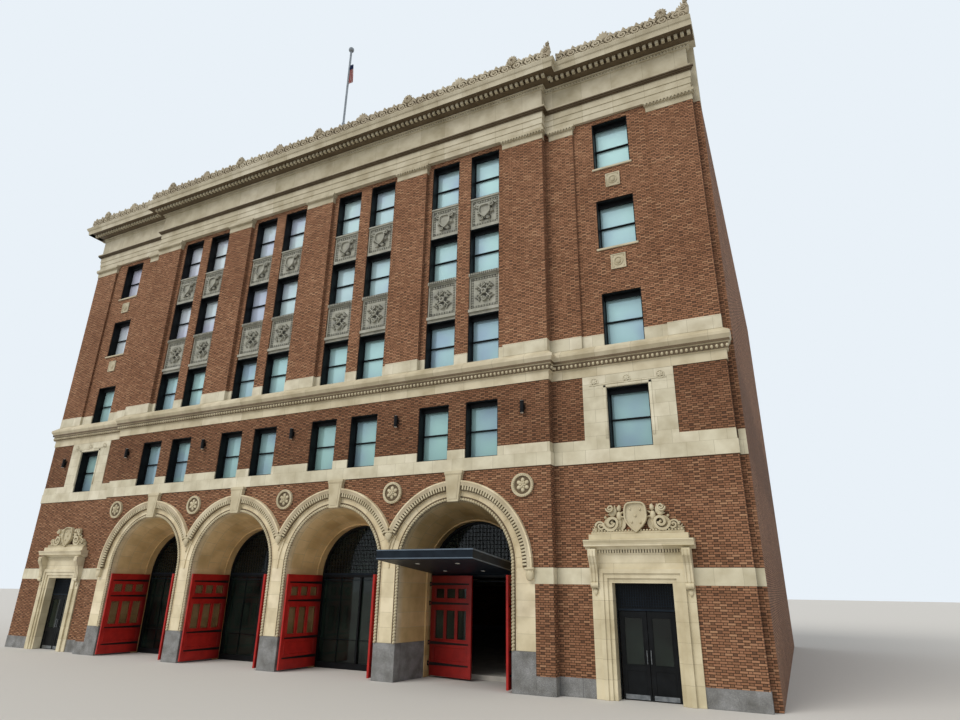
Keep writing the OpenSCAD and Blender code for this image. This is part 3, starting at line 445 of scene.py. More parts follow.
# painted reflection and shade: a dark colour in patches for the street reflected in the glass and the dark rooms behind
dark_glass, tree, here = blank("dark_shop_front_glass", Roughness=0.05, IOR=1.52, Alpha=0.85, Specular_IOR_Level=0.4)
dim = add(tree, "TexNoise", {"Vector": here, "Scale": 0.6, "Detail": 3.0})
wire(tree, add(tree, "ValToRGB", dim, stops=[(0.4, "#0c1210"), (0.55, "#1c2621"), (0.7, "#2a362f")]))
print("glass: window and shop front")

# %% [markdown]
# ## A finish for every solid
# Each solid now gets the finish of the real part. The names are the CAD program's own, so a list for each finish
# is all that is needed, and a last check makes sure that none was forgotten.

# %% Dress the solids
house_doors = ["west_door_left", "west_door_right", "east_door_left", "east_door_right"]
red_leaves = [f"red_leaf_{i}_{side}" for i in (1, 2, 3, 4) for side in ("left", "right")]
finishes = {
    brick: ["arcade_masonry", "arch_spandrels", "end_bay_piers", "front_wall_piers", "front_wall_spandrels",
            "brick_pilasters", "side_wall_piers", "side_wall_spandrels", "party_wall"],
    pier_blocks: ["arcade_piers", "inner_jambs"],
    surround_blocks: ["door_surrounds"],
    wedge_blocks: ["inner_arches", "arch_soffits", "archivolts"],
    band_blocks: ["impost_bands"],
    course_blocks: ["sill_band", "block_courses", "end_window_surrounds"],
    side_courses: ["side_bands"],
    cornice_blocks: ["belt_cornice", "architrave", "frieze", "main_cornice"],
    ornament: ["keystones", "arch_pendants", "medallions", "door_crests", "pilaster_capitals", "sills_and_plaques",
               "cresting"],
    granite: ["granite_bases"],
    grey_glaze: ["spandrel_panels"],
    black_paint: ["door_frames", "storefront_frames", "front_window_frames", "side_window_frames", "wall_lights",
                  *house_doors],
    canopy_paint: ["canopy"],
    iron_straps: ["hinge_brackets"],
    window_glass: ["front_window_glass", "side_window_glass"],
    dark_glass: ["storefront_glass"],
    poured_concrete: ["ground_slab", "floor_slabs"],
    roof_felt: ["roof_slab"],
    pole_steel: ["flagpole"],
    red_gloss: red_leaves,
}
dressed = set()
for finish, names in finishes.items():
    for name in names:
        nodes[name].data.materials.clear()
        nodes[name].data.materials.append(finish)
        dressed.add(name)
print("dressed", len(dressed), "of", len(nodes), "left:", sorted(set(nodes) - dressed))

# %% [markdown]
# ## Tools for modelling small parts
# The small parts are made as by hand: a primitive is added at its size and place, its faces are picked and shaped
# in edit mode, and modifiers finish it. A few short helpers keep that readable. `block` lays a box between two
# corners, `shaped` picks faces by where they lie and which way they look and runs a tool on them, and `settle` gives
# the finish and hangs the piece on the body that it moves with.

# %% Primitives
facing = (math.radians(90), 0, 0)  # turns a flat primitive to face the street


def begin():
    if bpy.context.mode != "OBJECT":
        bpy.ops.object.mode_set(mode="OBJECT")
    bpy.ops.object.select_all(action="DESELECT")


def hold(piece):
    begin()
    piece.select_set(True)
    bpy.context.view_layer.objects.active = piece
    return piece


def new(name, kind, scale=(1, 1, 1), **settings):
    """Adds a primitive and writes its place, turn and size into its mesh."""
    begin()
    getattr(bpy.ops.mesh, f"primitive_{kind}_add")(**settings)
    piece = bpy.context.object
    piece.name, piece.scale = name, scale
    bpy.ops.object.transform_apply(location=True, rotation=True, scale=True)
    return piece


def block(name, low, high):
    middle = [(a + b) / 2 for a, b in zip(low, high)]
    return new(name, "cube", size=1, location=middle, scale=[b - a for a, b in zip(low, high)])


def ball(name, x, y, z, across, deep, high, segments=8, rings=6, **turn):
    return new(name, "uv_sphere", segments=segments, ring_count=rings, radius=1, location=(x, street(y), z),
               scale=(across, deep, high), **turn)


def disc(name, x, y, z, radius, depth, vertices):
    return new(name, "cylinder", vertices=vertices, radius=radius, depth=depth, location=(x, street(y), z),
               rotation=facing)


def hoop(name, x, y, z, major, minor, around, across):
    return new(name, "torus", major_radius=major, minor_radius=minor, major_segments=around, minor_segments=across,
               location=(x, street(y), z), rotation=facing)


print("street face at Y", street(0))

# %% Tools of edit mode
def opened(piece):
    """Goes into edit mode with everything in the piece selected."""
    hold(piece)
    bpy.ops.object.mode_set(mode="EDIT")
    bpy.ops.mesh.select_all(action="SELECT")


def closed(piece, outwards=False):
    """Leaves edit mode; outwards first turns every face to the outside."""
    if outwards:
        bpy.ops.mesh.select_all(action="SELECT")
        bpy.ops.mesh.normals_make_consistent(inside=False)
    bpy.ops.object.mode_set(mode="OBJECT")
    return piece


def choose(piece, wanted):
    """Goes into edit mode and selects the faces whose centre and normal are wanted."""
    opened(piece)
    bpy.ops.mesh.select_mode(type="FACE")
    shape = bmesh.from_edit_mesh(piece.data)
    for face in shape.faces:
        face.select_set(bool(wanted(face.calc_center_median(), face.normal)))
    bmesh.update_edit_mesh(piece.data)


def shaped(piece, wanted, operator, **settings):
    """Runs an edit-mode tool on the wanted faces."""
    choose(piece, wanted)
    operator(**settings)
    return closed(piece)


def cut(piece, wanted):
    return shaped(piece, wanted, bpy.ops.mesh.delete, type="FACE")


def resized(piece, wanted, value, about):
    return shaped(piece, wanted, bpy.ops.transform.resize, value=value, center_override=about)


def spun(piece, steps, degrees, centre):
    """Repeats everything in the piece round a Y axis with the Spin tool."""
    opened(piece)
    bpy.ops.mesh.spin(dupli=True, steps=steps, angle=math.radians(degrees), center=centre, axis=(0, 1, 0))
    return closed(piece)


def swept(piece, *spins, merge=0.0):
    """Sweeps a flat piece with the Spin tool; each spin is its steps, its angle in degrees and its centre."""
    opened(piece)
    for steps, degrees, centre in spins:
        bpy.ops.mesh.spin(steps=steps, angle=math.radians(degrees), center=centre, axis=(0, 1, 0))
    if merge:
        bpy.ops.mesh.select_all(action="SELECT")
        bpy.ops.mesh.remove_doubles(threshold=merge)
    return closed(piece, outwards=True)


print("edit-mode tools: cut, resized, spun, swept")

# %% Modifiers
def modified(piece, kind, **settings):
    """Adds a modifier with its settings and applies it."""
    hold(piece)
    modifier = piece.modifiers.new("step", kind)
    for name, value in settings.items():
        setattr(modifier, name, value)
    bpy.ops.object.modifier_apply(modifier="step")
    return piece


def rounded(piece, width, segments=1):
    return modified(piece, "BEVEL", width=width, segments=segments, limit_method="ANGLE",
                    angle_limit=math.radians(30))


def row(piece, count, step):
    return modified(piece, "ARRAY", count=count, use_relative_offset=False, use_constant_offset=True,
                    constant_offset_displace=step)


print("modifiers: Bevel and Array")

# %% Copies, joins and finishes
dict.fromkeys((black_paint, canopy_paint, iron_straps), "black_metal")
dict.fromkeys((surround_blocks, wedge_blocks, course_blocks, cornice_blocks, ornament, shade_brown_clay,
                            crest_clay), "terracotta")


def turned(piece, degrees, about, axis="Y", size=1.0):
    """Turns and scales the mesh about a point."""
    here = Matrix.Translation(about)
    turn = Matrix.Rotation(math.radians(degrees), 4, axis) @ Matrix.Scale(size, 4)
    piece.data.transform(here @ turn @ here.inverted())
    return piece


def placed(piece, shift=(0, 0, 0), turn=0.0, about=(0, street(0), 0), flip=False, size=1.0):
    """A copy with its own mesh: scaled and turned about a point, then shifted, and mirrored in X if asked."""
    twin = piece.copy()
    twin.data = piece.data.copy()
    bpy.context.scene.collection.objects.link(twin)
    turned(twin, turn, about, "Z", size)
    twin.data.transform(Matrix.Translation(shift))
    if flip:
        twin.data.transform(Matrix.Scale(-1, 4, (1, 0, 0)))
        twin.data.flip_normals()
    return twin


def mirrored_all(pieces):
    return [placed(piece, flip=True) for piece in pieces]


def joined(name, pieces):
    begin()
    for piece in pieces:
        piece.select_set(True)
    bpy.context.view_layer.objects.active = pieces[0]
    if len(pieces) > 1:
        bpy.ops.object.join()
    pieces[0].name = pieces[0].data.name = name
    return pieces[0]


def dropped(*pieces):
    for piece in pieces:
        bpy.data.objects.remove(piece)


def settle(piece, finish, body="building", smooth=None):
    hold(piece)
    if smooth:
        bpy.ops.object.shade_smooth_by_angle(angle=math.radians(smooth))
    piece.data.materials.clear()
    piece.data.materials.append(finish)
    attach(piece, body)
    print(piece.name, len(piece.data.polygons), "faces")
    return piece


def copies(name, unit, along, finish, smooth=None, back=0.0, rise=0.0):
    """Copies a unit to every place along the front, joins the copies and settles them; the unit itself goes."""
    pieces = [placed(unit, (x, back, rise)) for x in along]
    dropped(unit)
    return settle(joined(name, pieces), finish, smooth=smooth)


# %% [markdown]
# ## Dentils and eggs along the front
# A classical cornice carries small blocks, the dentils, under its overhang, and the belt lower down carries a row
# of eggs. They follow the front round its set-backs: the centre block stands forward, the two end bays stand
# back, and the left side runs on down the side street. One unit is modelled at the middle of the street face. An
# Array modifier then repeats it along each straight run, which is far quicker than placing hundreds by hand.

# %% Rows along the street front
centre_half, half_width, end_setback, block_depth = 11.0, 16.64, 0.34, 24.0


def along_front(name, unit, pitch, reach, smooth=None, past=0.15):
    """Repeats a unit, modelled at X 0 on the street face, along every run; reach is how far it stands out."""
    pieces = []
    out = centre_half + reach
    for start, end, depth in ((-out, out, 0.0), (-half_width - reach, -out, end_setback),
                              (out, half_width + past, end_setback)):
        count = round((end - start) / pitch)
        step = (end - start) / count
        pieces.append(row(placed(unit, (start + step / 2, depth, 0)), count, (step, 0, 0)))
    count = round(end_setback / pitch)
    for side in (1, -1):
        for i in range(count):
            along = -reach + (i + 0.5) * end_setback / count
            pieces.append(placed(unit, (side * centre_half, along, 0), turn=side * 90))
    count = int((block_depth - end_setback - 0.1) / pitch)
    down_side = placed(unit, (-half_width, end_setback + pitch / 2, 0), turn=-90)
    pieces.append(row(down_side, count, (0, pitch, 0)))
    dropped(unit)
    return settle(joined(name, pieces), ornament, smooth=smooth)


dentil = rounded(block("dentil", (-0.063, street(-0.545), 22.10), (0.063, street(-0.395), 22.226)), 0.014, 2)
along_front("cornice_dentils", dentil, 0.228, 0.4, past=0.32)
along_front("belt_eggs", ball("egg", 0, -0.125, 9.96, 0.048, 0.06, 0.06, rings=5), 0.15, 0.1, 60)
along_front("cornice_bed_beads", ball("bead", 0, -0.09, 21.985, 0.05, 0.04, 0.035, rings=5), 0.12, 0.1, 60)

# %% [markdown]
# ## Painted shade under the ledges
# The hollows of the cornice lie in shade, and the eggs and dentils stand out against them. That shade is painted:
# the bands behind the rows are thin strips a few millimetres proud of the clay, laid along the same runs in a dark
# brown glaze. The shade could be painted by height in the glaze, but a strip follows the hollow on every face at once.

# %% Strips of painted shade
def strips(name, finish, *boxes):
    """Long strips along the whole front; each box is (near, far, low, high), near and far in front of the face."""
    pieces = []
    for near, far, low, high in boxes:
        for side in (-1, 1):
            inner, outer = side * (centre_half + far), side * (centre_half + near)
            pieces.append(block("strip", (min(inner, outer), street(-near + 0.001), low + 0.001),
                                (max(inner, outer) - 0.001, street(end_setback - far), high - 0.001)))
        for start, end, depth in ((-centre_half - near, centre_half + near, 0.0),
                                  (-half_width - near, -centre_half - near, end_setback),
                                  (centre_half + near, half_width + min(near, 0.33), end_setback)):
            pieces.append(block("strip", (start, street(depth - near), low), (end, street(depth - far), high)))
        pieces.append(block("strip", (-half_width - near, street(end_setback - near), low),
                            (-half_width - far, street(block_depth), high)))
    return settle(joined(name, pieces), finish)


strips("cornice_bed_fillets", cornice_blocks, (0.165, 0.04, 22.02, 22.062), (0.105, 0.03, 21.905, 21.945))
strips("painted_shade_hollows", shade_brown_clay, (0.107, 0.05, 9.884, 10.098), (0.166, 0.10, 10.102, 10.185),
       (0.104, 0.03, 20.813, 20.851), (0.149, 0.06, 20.851, 20.901), (0.192, 0.09, 20.901, 20.944),
       (0.398, 0.12, 22.082, 22.094), (0.404, 0.38, 22.094, 22.236), (0.728, 0.39, 22.229, 22.238))

# %% [markdown]
# ## Capitals
# Each brick pilaster ends in a plain cream band with a row of eggs above it. The eggs sit in the hollow between
# the band and the top slab, so a row is repeated across each capital at the right depth.

# %% Eggs on the capitals
capital_egg = ball("capital_egg", 0, -0.095, 19.858, 0.048, 0.045, 0.062, rings=5)
capital_half, egg_pitch, overhang = 0.7325, 0.122, 0.06
capital_runs = [(i * bay_pitch - capital_half, i * bay_pitch + capital_half, 0.0) for i in (-1, 0, 1)]
capital_runs += [(-11.0, -9.3175, 0.0), (9.3175, 11.0, 0.0), (-16.64, -15.0, end_setback), (15.0, 16.64, end_setback),
                 (-12.13, -11.194, end_setback), (11.194, 12.13, end_setback)]
pieces = []
for start, end, depth in capital_runs:
    count = round((end - start + 2 * overhang) / egg_pitch)
    pitch = (end - start + 2 * overhang) / count
    pieces.append(row(placed(capital_egg, (start - overhang + pitch / 2, depth, 0)), count, (pitch, 0, 0)))
dropped(capital_egg)
settle(joined("capital_eggs", pieces), ornament, smooth=60)

# %% [markdown]
# ## Teeth and rope round the arches
# Each archivolt carries a row of small teeth, and its inner edge is a rope of twisted clay that starts on the
# granite and runs up one jamb, round the arch and down the other. The rope is drawn as short slanted beads that
# touch. In edit mode the Spin tool with copies walks a bead round the arch's centre in equal steps.

# %% Teeth of one arch, then of all four
first_bay = centres[0]
bays = [i * bay_pitch for i in range(4)]
ring_height = 3.508
ring_centre, rope_centre = (first_bay, street(0), ring_height), (first_bay, street(0), arch_height)


def between(ring, cut_left, cut_right):
    """A copy without what would lie inside the next arch or under the drop between two arches."""
    def beyond(side, centre):
        across = side * (centre.x - first_bay)
        return across > bay_pitch / 2 - 0.01 or (across > 2.0 and centre.z < 4.62)

    return cut(placed(ring), lambda centre, normal: (cut_left and beyond(-1, centre))
               or (cut_right and beyond(1, centre)))


def on_arches(name, rings, finish):
    """Copies the ring of the first arch to all four and trims it where they meet; a list has one ring for each."""
    rings = rings if isinstance(rings, list) else [rings] * 4
    pieces = []
    for i, (ring, shift) in enumerate(zip(rings, bays)):
        pieces.append(between(ring, i > 0, i < 3))
        pieces[-1].data.transform(Matrix.Translation((shift, 0, 0)))
    dropped(*dict.fromkeys(rings))
    return settle(joined(name, pieces), finish)


tooth = block("tooth", (first_bay - 2.655, street(-0.142), 3.570), (first_bay - 2.515, street(-0.04), 3.630))
all_teeth = spun(rounded(tooth, 0.008), 77, -176.0, ring_centre)
teeth = cut(placed(all_teeth), lambda centre, normal: centre.z > 5.5
            and abs(centre.x - first_bay) < 0.30 + (centre.z - 6.0) * 0.1)
on_arches("arch_teeth", [all_teeth, teeth, teeth, teeth], ornament)  # the first keeps the few that its keystone hides

# %% Rope
rope_radius = 2.135
strand = ball("strand", first_bay - rope_radius, 0.0, arch_height, 0.050, 0.062, 0.068,
              rotation=(0, math.radians(38), 0))
pieces = [spun(placed(strand), 67, -180, rope_centre)]
for shift in (0, 2 * rope_radius):
    pieces.append(row(placed(strand, (shift, 0, -2.40)), 24, (0, 0, 0.1)))
dropped(strand)
copies("arch_ropes", joined("rope", pieces), bays, ornament, 60)

# %% A fillet beside the rope
def half_ring(name, inner, outer, near, far, height, steps, tilt=0.0):
    """A face between two radii, near and far in front of the wall, swept half round the first arch."""
    face = new(name, "plane", size=1, location=(first_bay - (inner + outer) / 2, street(-(near + far) / 2), height),
               scale=(outer - inner, near - far, 1), rotation=(0, 0, math.radians(tilt)))
    return swept(face, (steps, -180, (first_bay, street(0), height)))


def band_round(name, inner, outer, depth, low=1.15):
    """A flat band round the first arch, with legs that reach down to a height."""
    pieces = [half_ring(name, inner, outer, depth, -0.02, arch_height, 60)]
    for side in (-1, 1):
        leg, half = first_bay + side * (inner + outer) / 2, (outer - inner) / 2
        pieces.append(block("leg", (leg - half, street(-depth), low), (leg + half, street(0.02), arch_height)))
    return joined(name, pieces)


copies("arch_fillets", band_round("fillet", 2.237, 2.262, 0.014), bays, wedge_blocks)
# painted shade: a dark band behind the rope stands in for the shade between its strands
copies("rope_hollows", band_round("hollow", 2.086, 2.235, 0.004), bays, shade_brown_clay)

# %% [markdown]
# ## The outer order of the archivolts
# Behind the teeth a dark band paints the shade between them. Beyond the teeth each archivolt has a hollow, in a
# darker and greyer clay, and then a narrow fillet. These are bands of the same kind, so one face is swept round the
# arch with the Spin tool. At the two ends of the arcade the same sweep also carries the archivolt's steps down to the
# pendants.

# %% Bands of the archivolts
def ring_band(name, inner, outer, near, far, tilt=0.0):
    """A half ring that stops at both sides of the keystone."""
    band = half_ring(name, inner, outer, near, far, ring_height, 72, tilt)
    return cut(band, lambda centre, normal: abs(centre.x - first_bay) < 0.2 and centre.z > 5.5)


# painted shade: a dark band behind the teeth stands in for the shade between them
on_arches("teeth_hollows", ring_band("groove", 2.495, 2.664, 0.084, 0.03), shade_brown_clay)
on_arches("archivolt_coves", ring_band("cove", 2.655, 2.785, 0.142, 0.112, 6), crest_clay)
on_arches("archivolt_fillets", ring_band("fillet", 2.775, 2.825, 0.152, 0.0), wedge_blocks)
ends = joined("ends", [ring_band("step", inner, 2.783, near, far)
                       for inner, near, far in ((2.49, 0.037, -0.15), (2.586, 0.082, 0.0), (2.691, 0.122, 0.0))])
cut(ends, lambda centre, normal: centre.x > first_bay - 2.2)
settle(joined("archivolt_ends", [placed(ends, flip=True), ends]), wedge_blocks)

# %% [markdown]
# ## Keystones, medallions and pendants
# Each arch is locked by a tapered keystone, with a raised plate on its face and a moulding under its head. Between
# the arches hang round medallions with a rose of two rings of petals, and a small drop covers the place where two
# archivolts meet. A rose could be carved from a disc, but it is quicker to shape one petal and spin copies of it
# round the centre.

# %% Keystone plates
plates = []
for half, near, low in ((0.209, 0.166, 5.615), (0.15, 0.178, 5.70)):
    plate = block("plate", (first_bay - half, street(-near), low), (first_bay + half, street(-0.12), 6.50))
    resized(plate, lambda centre, normal: normal.z > 0.9, (1.5, 1, 1), (first_bay, street(-0.12), 6.5))
    plates.append(rounded(plate, 0.008))
head = block("head", (first_bay - 0.345, street(-0.188), 6.495), (first_bay + 0.345, street(-0.125), 6.575))
resized(head, lambda centre, normal: normal.z < -0.9, (0.93, 0.5, 1), (first_bay, street(-0.125), 6.495))
copies("keystone_plates", joined("key", plates + [rounded(head, 0.01, 2)]), bays, ornament)

# %% Medallion roses
rose_height = 6.05
rose_centre = (0, street(0), rose_height)
outer_petals = spun(ball("outer_petal", 0, -0.055, rose_height + 0.152, 0.068, 0.045, 0.082, 10), 5, 300, rose_centre)
inner_petals = ball("inner_petal", 0, -0.085, rose_height + 0.075, 0.034, 0.035, 0.05, rings=5)
turned(spun(inner_petals, 5, 300, rose_centre), 30, (0, 0, rose_height))
rose_back = disc("rose_back", 0, -0.042, rose_height, 0.298, 0.012, 32)
ring_beads = spun(ball("ring_bead", 0, -0.09, 6.39, 0.019, 0.019, 0.019, 6, 4), 31, 348.75, rose_centre)
rose = joined("rose", [outer_petals, inner_petals, ring_beads,
                       ball("heart", 0, -0.085, rose_height, 0.045, 0.03, 0.045, 12, 8),
                       hoop("collar", 0, -0.115, rose_height, 0.045, 0.014, 16, 6)])
rose_places = (-10.06, -bay_pitch, 0, bay_pitch, 10.06)
copies("medallion_roses", rose, rose_places, ornament, 50)
# painted shade: the dark disc behind each rose stands in for the shade of its hollow
copies("medallion_hollows", rose_back, rose_places, shade_brown_clay)

# %% Drops between the arches and lips on the end pendants
drop = ball("drop", 0, -0.128, 4.56, 0.125, 0.055, 0.17, 14, 9)
resized(drop, lambda centre, normal: centre.z > 4.6, (1.25, 1, 0.6), (0, street(-0.12), 4.6))
tip = ball("tip", 0, -0.13, 4.37, 0.035, 0.035, 0.035)
cap = rounded(block("cap", (-0.16, street(-0.165), 4.665), (0.16, street(-0.118), 4.72)), 0.014, 2)
drop = joined("drop", [drop, tip, cap])
pieces = [placed(drop, (i * bay_pitch, 0, 0)) for i in (-1, 0, 1)]
dropped(drop)
end_drop = [rounded(block("lip", (10.115, street(-0.165), 3.442), (10.434, street(-0.10), 3.508)), 0.014, 2),
            ball("bulge", 10.2745, -0.12, 3.27, 0.118, 0.055, 0.16, 14, 9)]
settle(joined("arch_drops", pieces + end_drop + mirrored_all(end_drop)), ornament, smooth=45)

# %% [markdown]
# ## Scrolls
# Scrolls turn up all over this front: on the spandrels, over the doors and along the cornice. A scroll is a strip
# that winds inwards. The Spin tool sweeps one face round a centre, so three half turns of shrinking radius, each
# starting where the last one ended, make a volute. It is modelled flat against the street face.

# %% Helpers for a scroll, a leaf and a frame
def volute(name, x, z, radius, band=0.3, depth=0.06, face=0.0, steps=7, way=1):
    """A scroll whose outer end starts to the right of (x, z) and winds over its top, or under it if way is -1."""
    strip = new(name, "plane", size=1, location=(x + radius, street(face - depth / 2), z),
                scale=(radius * band, depth, 1))
    spins, sign, reach = [], 1, radius
    for _ in range(3):
        spins.append((steps, 180 * way, (x, street(face), z)))
        smaller = reach * 0.66
        x, reach, sign = x - sign * (reach - smaller), smaller, -sign
    swept(strip, *spins, merge=0.0002)
    middle = ball(name + "_eye", x, face - depth * 0.6, z, reach * 0.8, depth * 0.6, reach * 0.8, rings=5)
    return joined(name, [strip, middle])


def leaf(name, x, z, length, width, lean, depth=0.05, face=0.0):
    """A plump leaf that points up from (x, z), leaning by some degrees."""
    shape = ball(name, x, face, z + length / 2, width / 2, depth, length / 2)
    neck = z + length * 0.75
    resized(shape, lambda centre, normal: centre.z > neck, (0.55, 1, 1.08), (x, street(face), neck))
    return turned(shape, lean, (x, 0, z))


def fan(name, x, z, lengths, leans, width, depth, face):
    """Leaves that spread from one point like the ribs of a shell."""
    return joined(name, [leaf("rib", x, z, length, width, lean, depth, face) for length, lean in zip(lengths, leans)])


def rim(name, low, high, width):
    """A flat frame between two corners: both large faces of a box are inset, cut out and bridged."""
    piece = block(name, low, high)
    choose(piece, lambda centre, normal: abs(normal.y) > 0.9)
    bpy.ops.mesh.inset(thickness=width, depth=0)
    bpy.ops.mesh.delete(type="FACE")
    bpy.ops.mesh.select_mode(type="EDGE")
    bpy.ops.mesh.select_all(action="DESELECT")
    bpy.ops.mesh.select_non_manifold()
    bpy.ops.mesh.bridge_edge_loops()
    return closed(piece, outwards=True)


print("scroll, leaf, fan and rim ready")

# %% [markdown]
# ## Spandrel reliefs
# The grey panels between the windows are cast reliefs. The upper one carries a plain shield in a strapwork frame
# of scrolls, and the lower one two crossed leafy branches. Both have a border of small lozenges. The reliefs are
# original shapes of a common kind, modelled once each and copied to all eight windows of their row.

# %% Border of lozenges
def lozenge_border(half_w, half_h, pitch=0.098):
    pieces = []
    across, upward = round(2 * half_w / pitch), round(2 * half_h / pitch)
    along, climb = (2 * half_w / across, 0, 0), (0, 0, 2 * half_h / upward)
    for x, z, count, step in ((-half_w, -half_h, across, along), (-half_w, half_h, across, along),
                              (-half_w, -half_h, upward + 1, climb), (half_w, -half_h, upward + 1, climb)):
        pieces.append(row(ball("stud", x, 0, z, pitch * 0.46, 0.026, pitch * 0.46, 4, 4), count, step))
    return joined("border", pieces)


print("lozenges in a run of 0.91 m:", round(0.91 / 0.098))

# %% Shield with strapwork
def shield(name, half_w, half_h, depth, border, face=0.0, z=0.0):
    """A shield: a disc whose top is squared and whose foot is drawn to a point, with a raised rim."""
    piece = new(name, "circle", vertices=32, radius=1, fill_type="NGON", rotation=facing)
    for vertex in piece.data.vertices:
        across, upward = vertex.co.x, vertex.co.z
        if upward > 0:
            new_x = math.copysign(abs(across) ** 0.35, across)
            new_z = upward ** 0.5 * 0.86 + 0.14 * (1 - abs(across))
        else:
            new_x = math.copysign(abs(across) ** 0.62, across)
            new_z = -(1 - abs(new_x)) ** 0.6
        vertex.co = (new_x * half_w, street(face), z + new_z * half_h)
    opened(piece)
    bpy.ops.mesh.extrude_region_move(TRANSFORM_OT_translate={"value": (0, -depth, 0)})
    bpy.ops.mesh.inset(thickness=border, depth=0)
    bpy.ops.mesh.extrude_region_move(TRANSFORM_OT_translate={"value": (0, depth * 0.45, 0)})
    return closed(piece, outwards=True)


curls = joined("curls", [volute("curl", 0.30, 0.24, 0.10, 0.34, 0.07), volute("curl", 0.27, -0.02, 0.055, 0.36, way=-1),
                         volute("curl", 0.13, -0.27, 0.06, 0.36, way=-1), leaf("tail", 0.30, 0.14, 0.34, 0.07, 200)])
upper_relief = joined("upper_relief", [shield("plate", 0.22, 0.27, 0.085, 0.03), placed(curls, flip=True), curls,
                                       leaf("crown", 0, 0.25, 0.14, 0.13, 0), lozenge_border(0.455, 0.455)])
print("upper relief:", len(upper_relief.data.polygons), "faces")

# %% Crossed branches
pieces = []
for lean in (-45, 45):
    stem = new("stem", "cylinder", vertices=8, radius=0.026, depth=0.72, location=(0, street(-0.02), 0),
               rotation=(0, math.radians(lean), 0))
    pieces.append(rounded(stem, 0.008))
    for reach in (-0.30, -0.18, 0.16, 0.28):
        x, z = reach * math.sin(math.radians(lean)), reach * math.cos(math.radians(lean))
        for side in (-58, 58):
            turn = lean + side + (0 if reach > 0 else 180)
            pieces.append(leaf("blade", x, z, 0.17, 0.075, turn, 0.045))
pieces += [volute("curl", 0.0, 0.26 * way, 0.085, 0.34, way=way) for way in (1, -1)]
pieces += [hoop("knot", 0, -0.045, 0, 0.075, 0.026, 18, 8), lozenge_border(0.455, 0.52)]
lower_relief = joined("lower_relief", pieces)
print("lower relief:", len(lower_relief.data.polygons), "faces")

# %% Place the reliefs
paired_high = [x + side * 0.9135 for x in centres for side in (-1, 1)]
upper_height, lower_height, panel_face = 17.029, 13.487, 0.255
deepen = Matrix.Translation((0, street(0), 0)) @ Matrix.Diagonal((1.12, 1.7, 1.12, 1))
for relief in (upper_relief, lower_relief):
    relief.data.transform(deepen @ Matrix.Translation((0, -street(0), 0)))
copies("upper_spandrel_reliefs", upper_relief, paired_high, grey_glaze, 40, panel_face, upper_height)
copies("lower_spandrel_reliefs", lower_relief, paired_high, grey_glaze, 40, panel_face, lower_height)

# %% Plates of painted shade behind them, and a row of beads over them
near, far = street(0.2505), street(panel_face)
hollows = [rim("back", (-0.566, near, height - half), (0.566, far + 0.0005, height + half), 0.105)
           for height, half in ((upper_height, 0.566), (lower_height, 0.64))]
hollows += [block("back", (-0.6, street(0.138), 14.20), (0.6, street(0.15), 14.305)),
            shield("halo", 0.315, 0.375, 0.004, 0.02, 0.253, 17.03),
            block("halo", (-0.40, near, 17.22), (0.40, far, 17.40)),
            block("halo", (-0.26, near, 16.66), (0.26, far, 16.80))]
for lean in (-45, 45):  # the two arms of the cross differ by a hair in depth, so that they don't coincide
    arm = block("arm", (-0.13, near + lean * 0.00001, lower_height - 0.43), (0.13, far, lower_height + 0.43))
    hollows.append(turned(arm, lean, (0, 0, lower_height)))
copies("spandrel_hollows", joined("back", hollows), paired_high, grey_shade)
beads = row(ball("sill_bead", -0.585, 0.142, 14.252, 0.036, 0.03, 0.046, 6, 5), 14, (0.09, 0, 0))
copies("spandrel_bead_rows", beads, paired_high, grey_glaze, 60)

# %% [markdown]
# ## Windows in depth
# The sashes stand deep in the brick, and black metal linings cover the sides and the head of each reveal, so from
# the pavement every window has a thick dark edge on its left and top. A lining is a box whose front and back are
# inset, cut out and bridged into a frame. One is modelled for each size of window and copied along its row.

# %% The rows of windows
paired_low = [x + side * 0.968 for x in centres for side in (-1, 1)]
end_pair = [-13.562, 13.562]
upper_spans = [(14.317, 16.310), (17.728, 19.817)]
low_span, heights = (7.090, 9.102), [(10.619, 12.556)] + upper_spans
front_rows = [(paired_low, 0.623, low_span, 0.0), (end_pair, 0.678, low_span, 0.34)]
front_rows += [(paired_high, 0.6375, span, 0.165) for span in heights]
front_rows += [(end_pair, 0.678, span, 0.44) for span in heights]
side_spans = [(7.411, 9.102), (11.053, 12.556)] + upper_spans
side_places = [3.6 + 4.4 * i for i in range(5)]
back_places = [4.4 * i for i in range(-3, 4)]
print("windows on the street:", sum(len(row_places) for row_places, *_ in front_rows))

# %% Linings and meeting rails
def window_trim(half, span, depth):
    """Lining, stepped head and meeting rail of one window, at X 0 on a wall at the street face."""
    bottom, top = span
    middle = (bottom + top - 0.04) / 2
    lining = rim("lining", (-half, street(0.035), bottom), (half, street(depth - 0.002), top), 0.032)
    header = block("header", (-half + 0.03, street(depth - 0.075), top - 0.175),
                   (half - 0.03, street(depth - 0.002), top - 0.03))
    rail = block("rail", (-half + 0.05, street(depth - 0.016), middle - 0.022),
                 (half - 0.05, street(depth), middle + 0.02))
    return joined("window_trim", [lining, header, rounded(rail, 0.006)])


def on_hidden_wall(unit, i):
    """A copy of a unit in window i of the hidden walls: five on the side, then seven on the back."""
    if i < len(side_places):
        return placed(unit, (-half_width, side_places[i], 0), turn=-90)
    return placed(unit, (back_places[i - len(side_places)], block_depth, 0), turn=180)


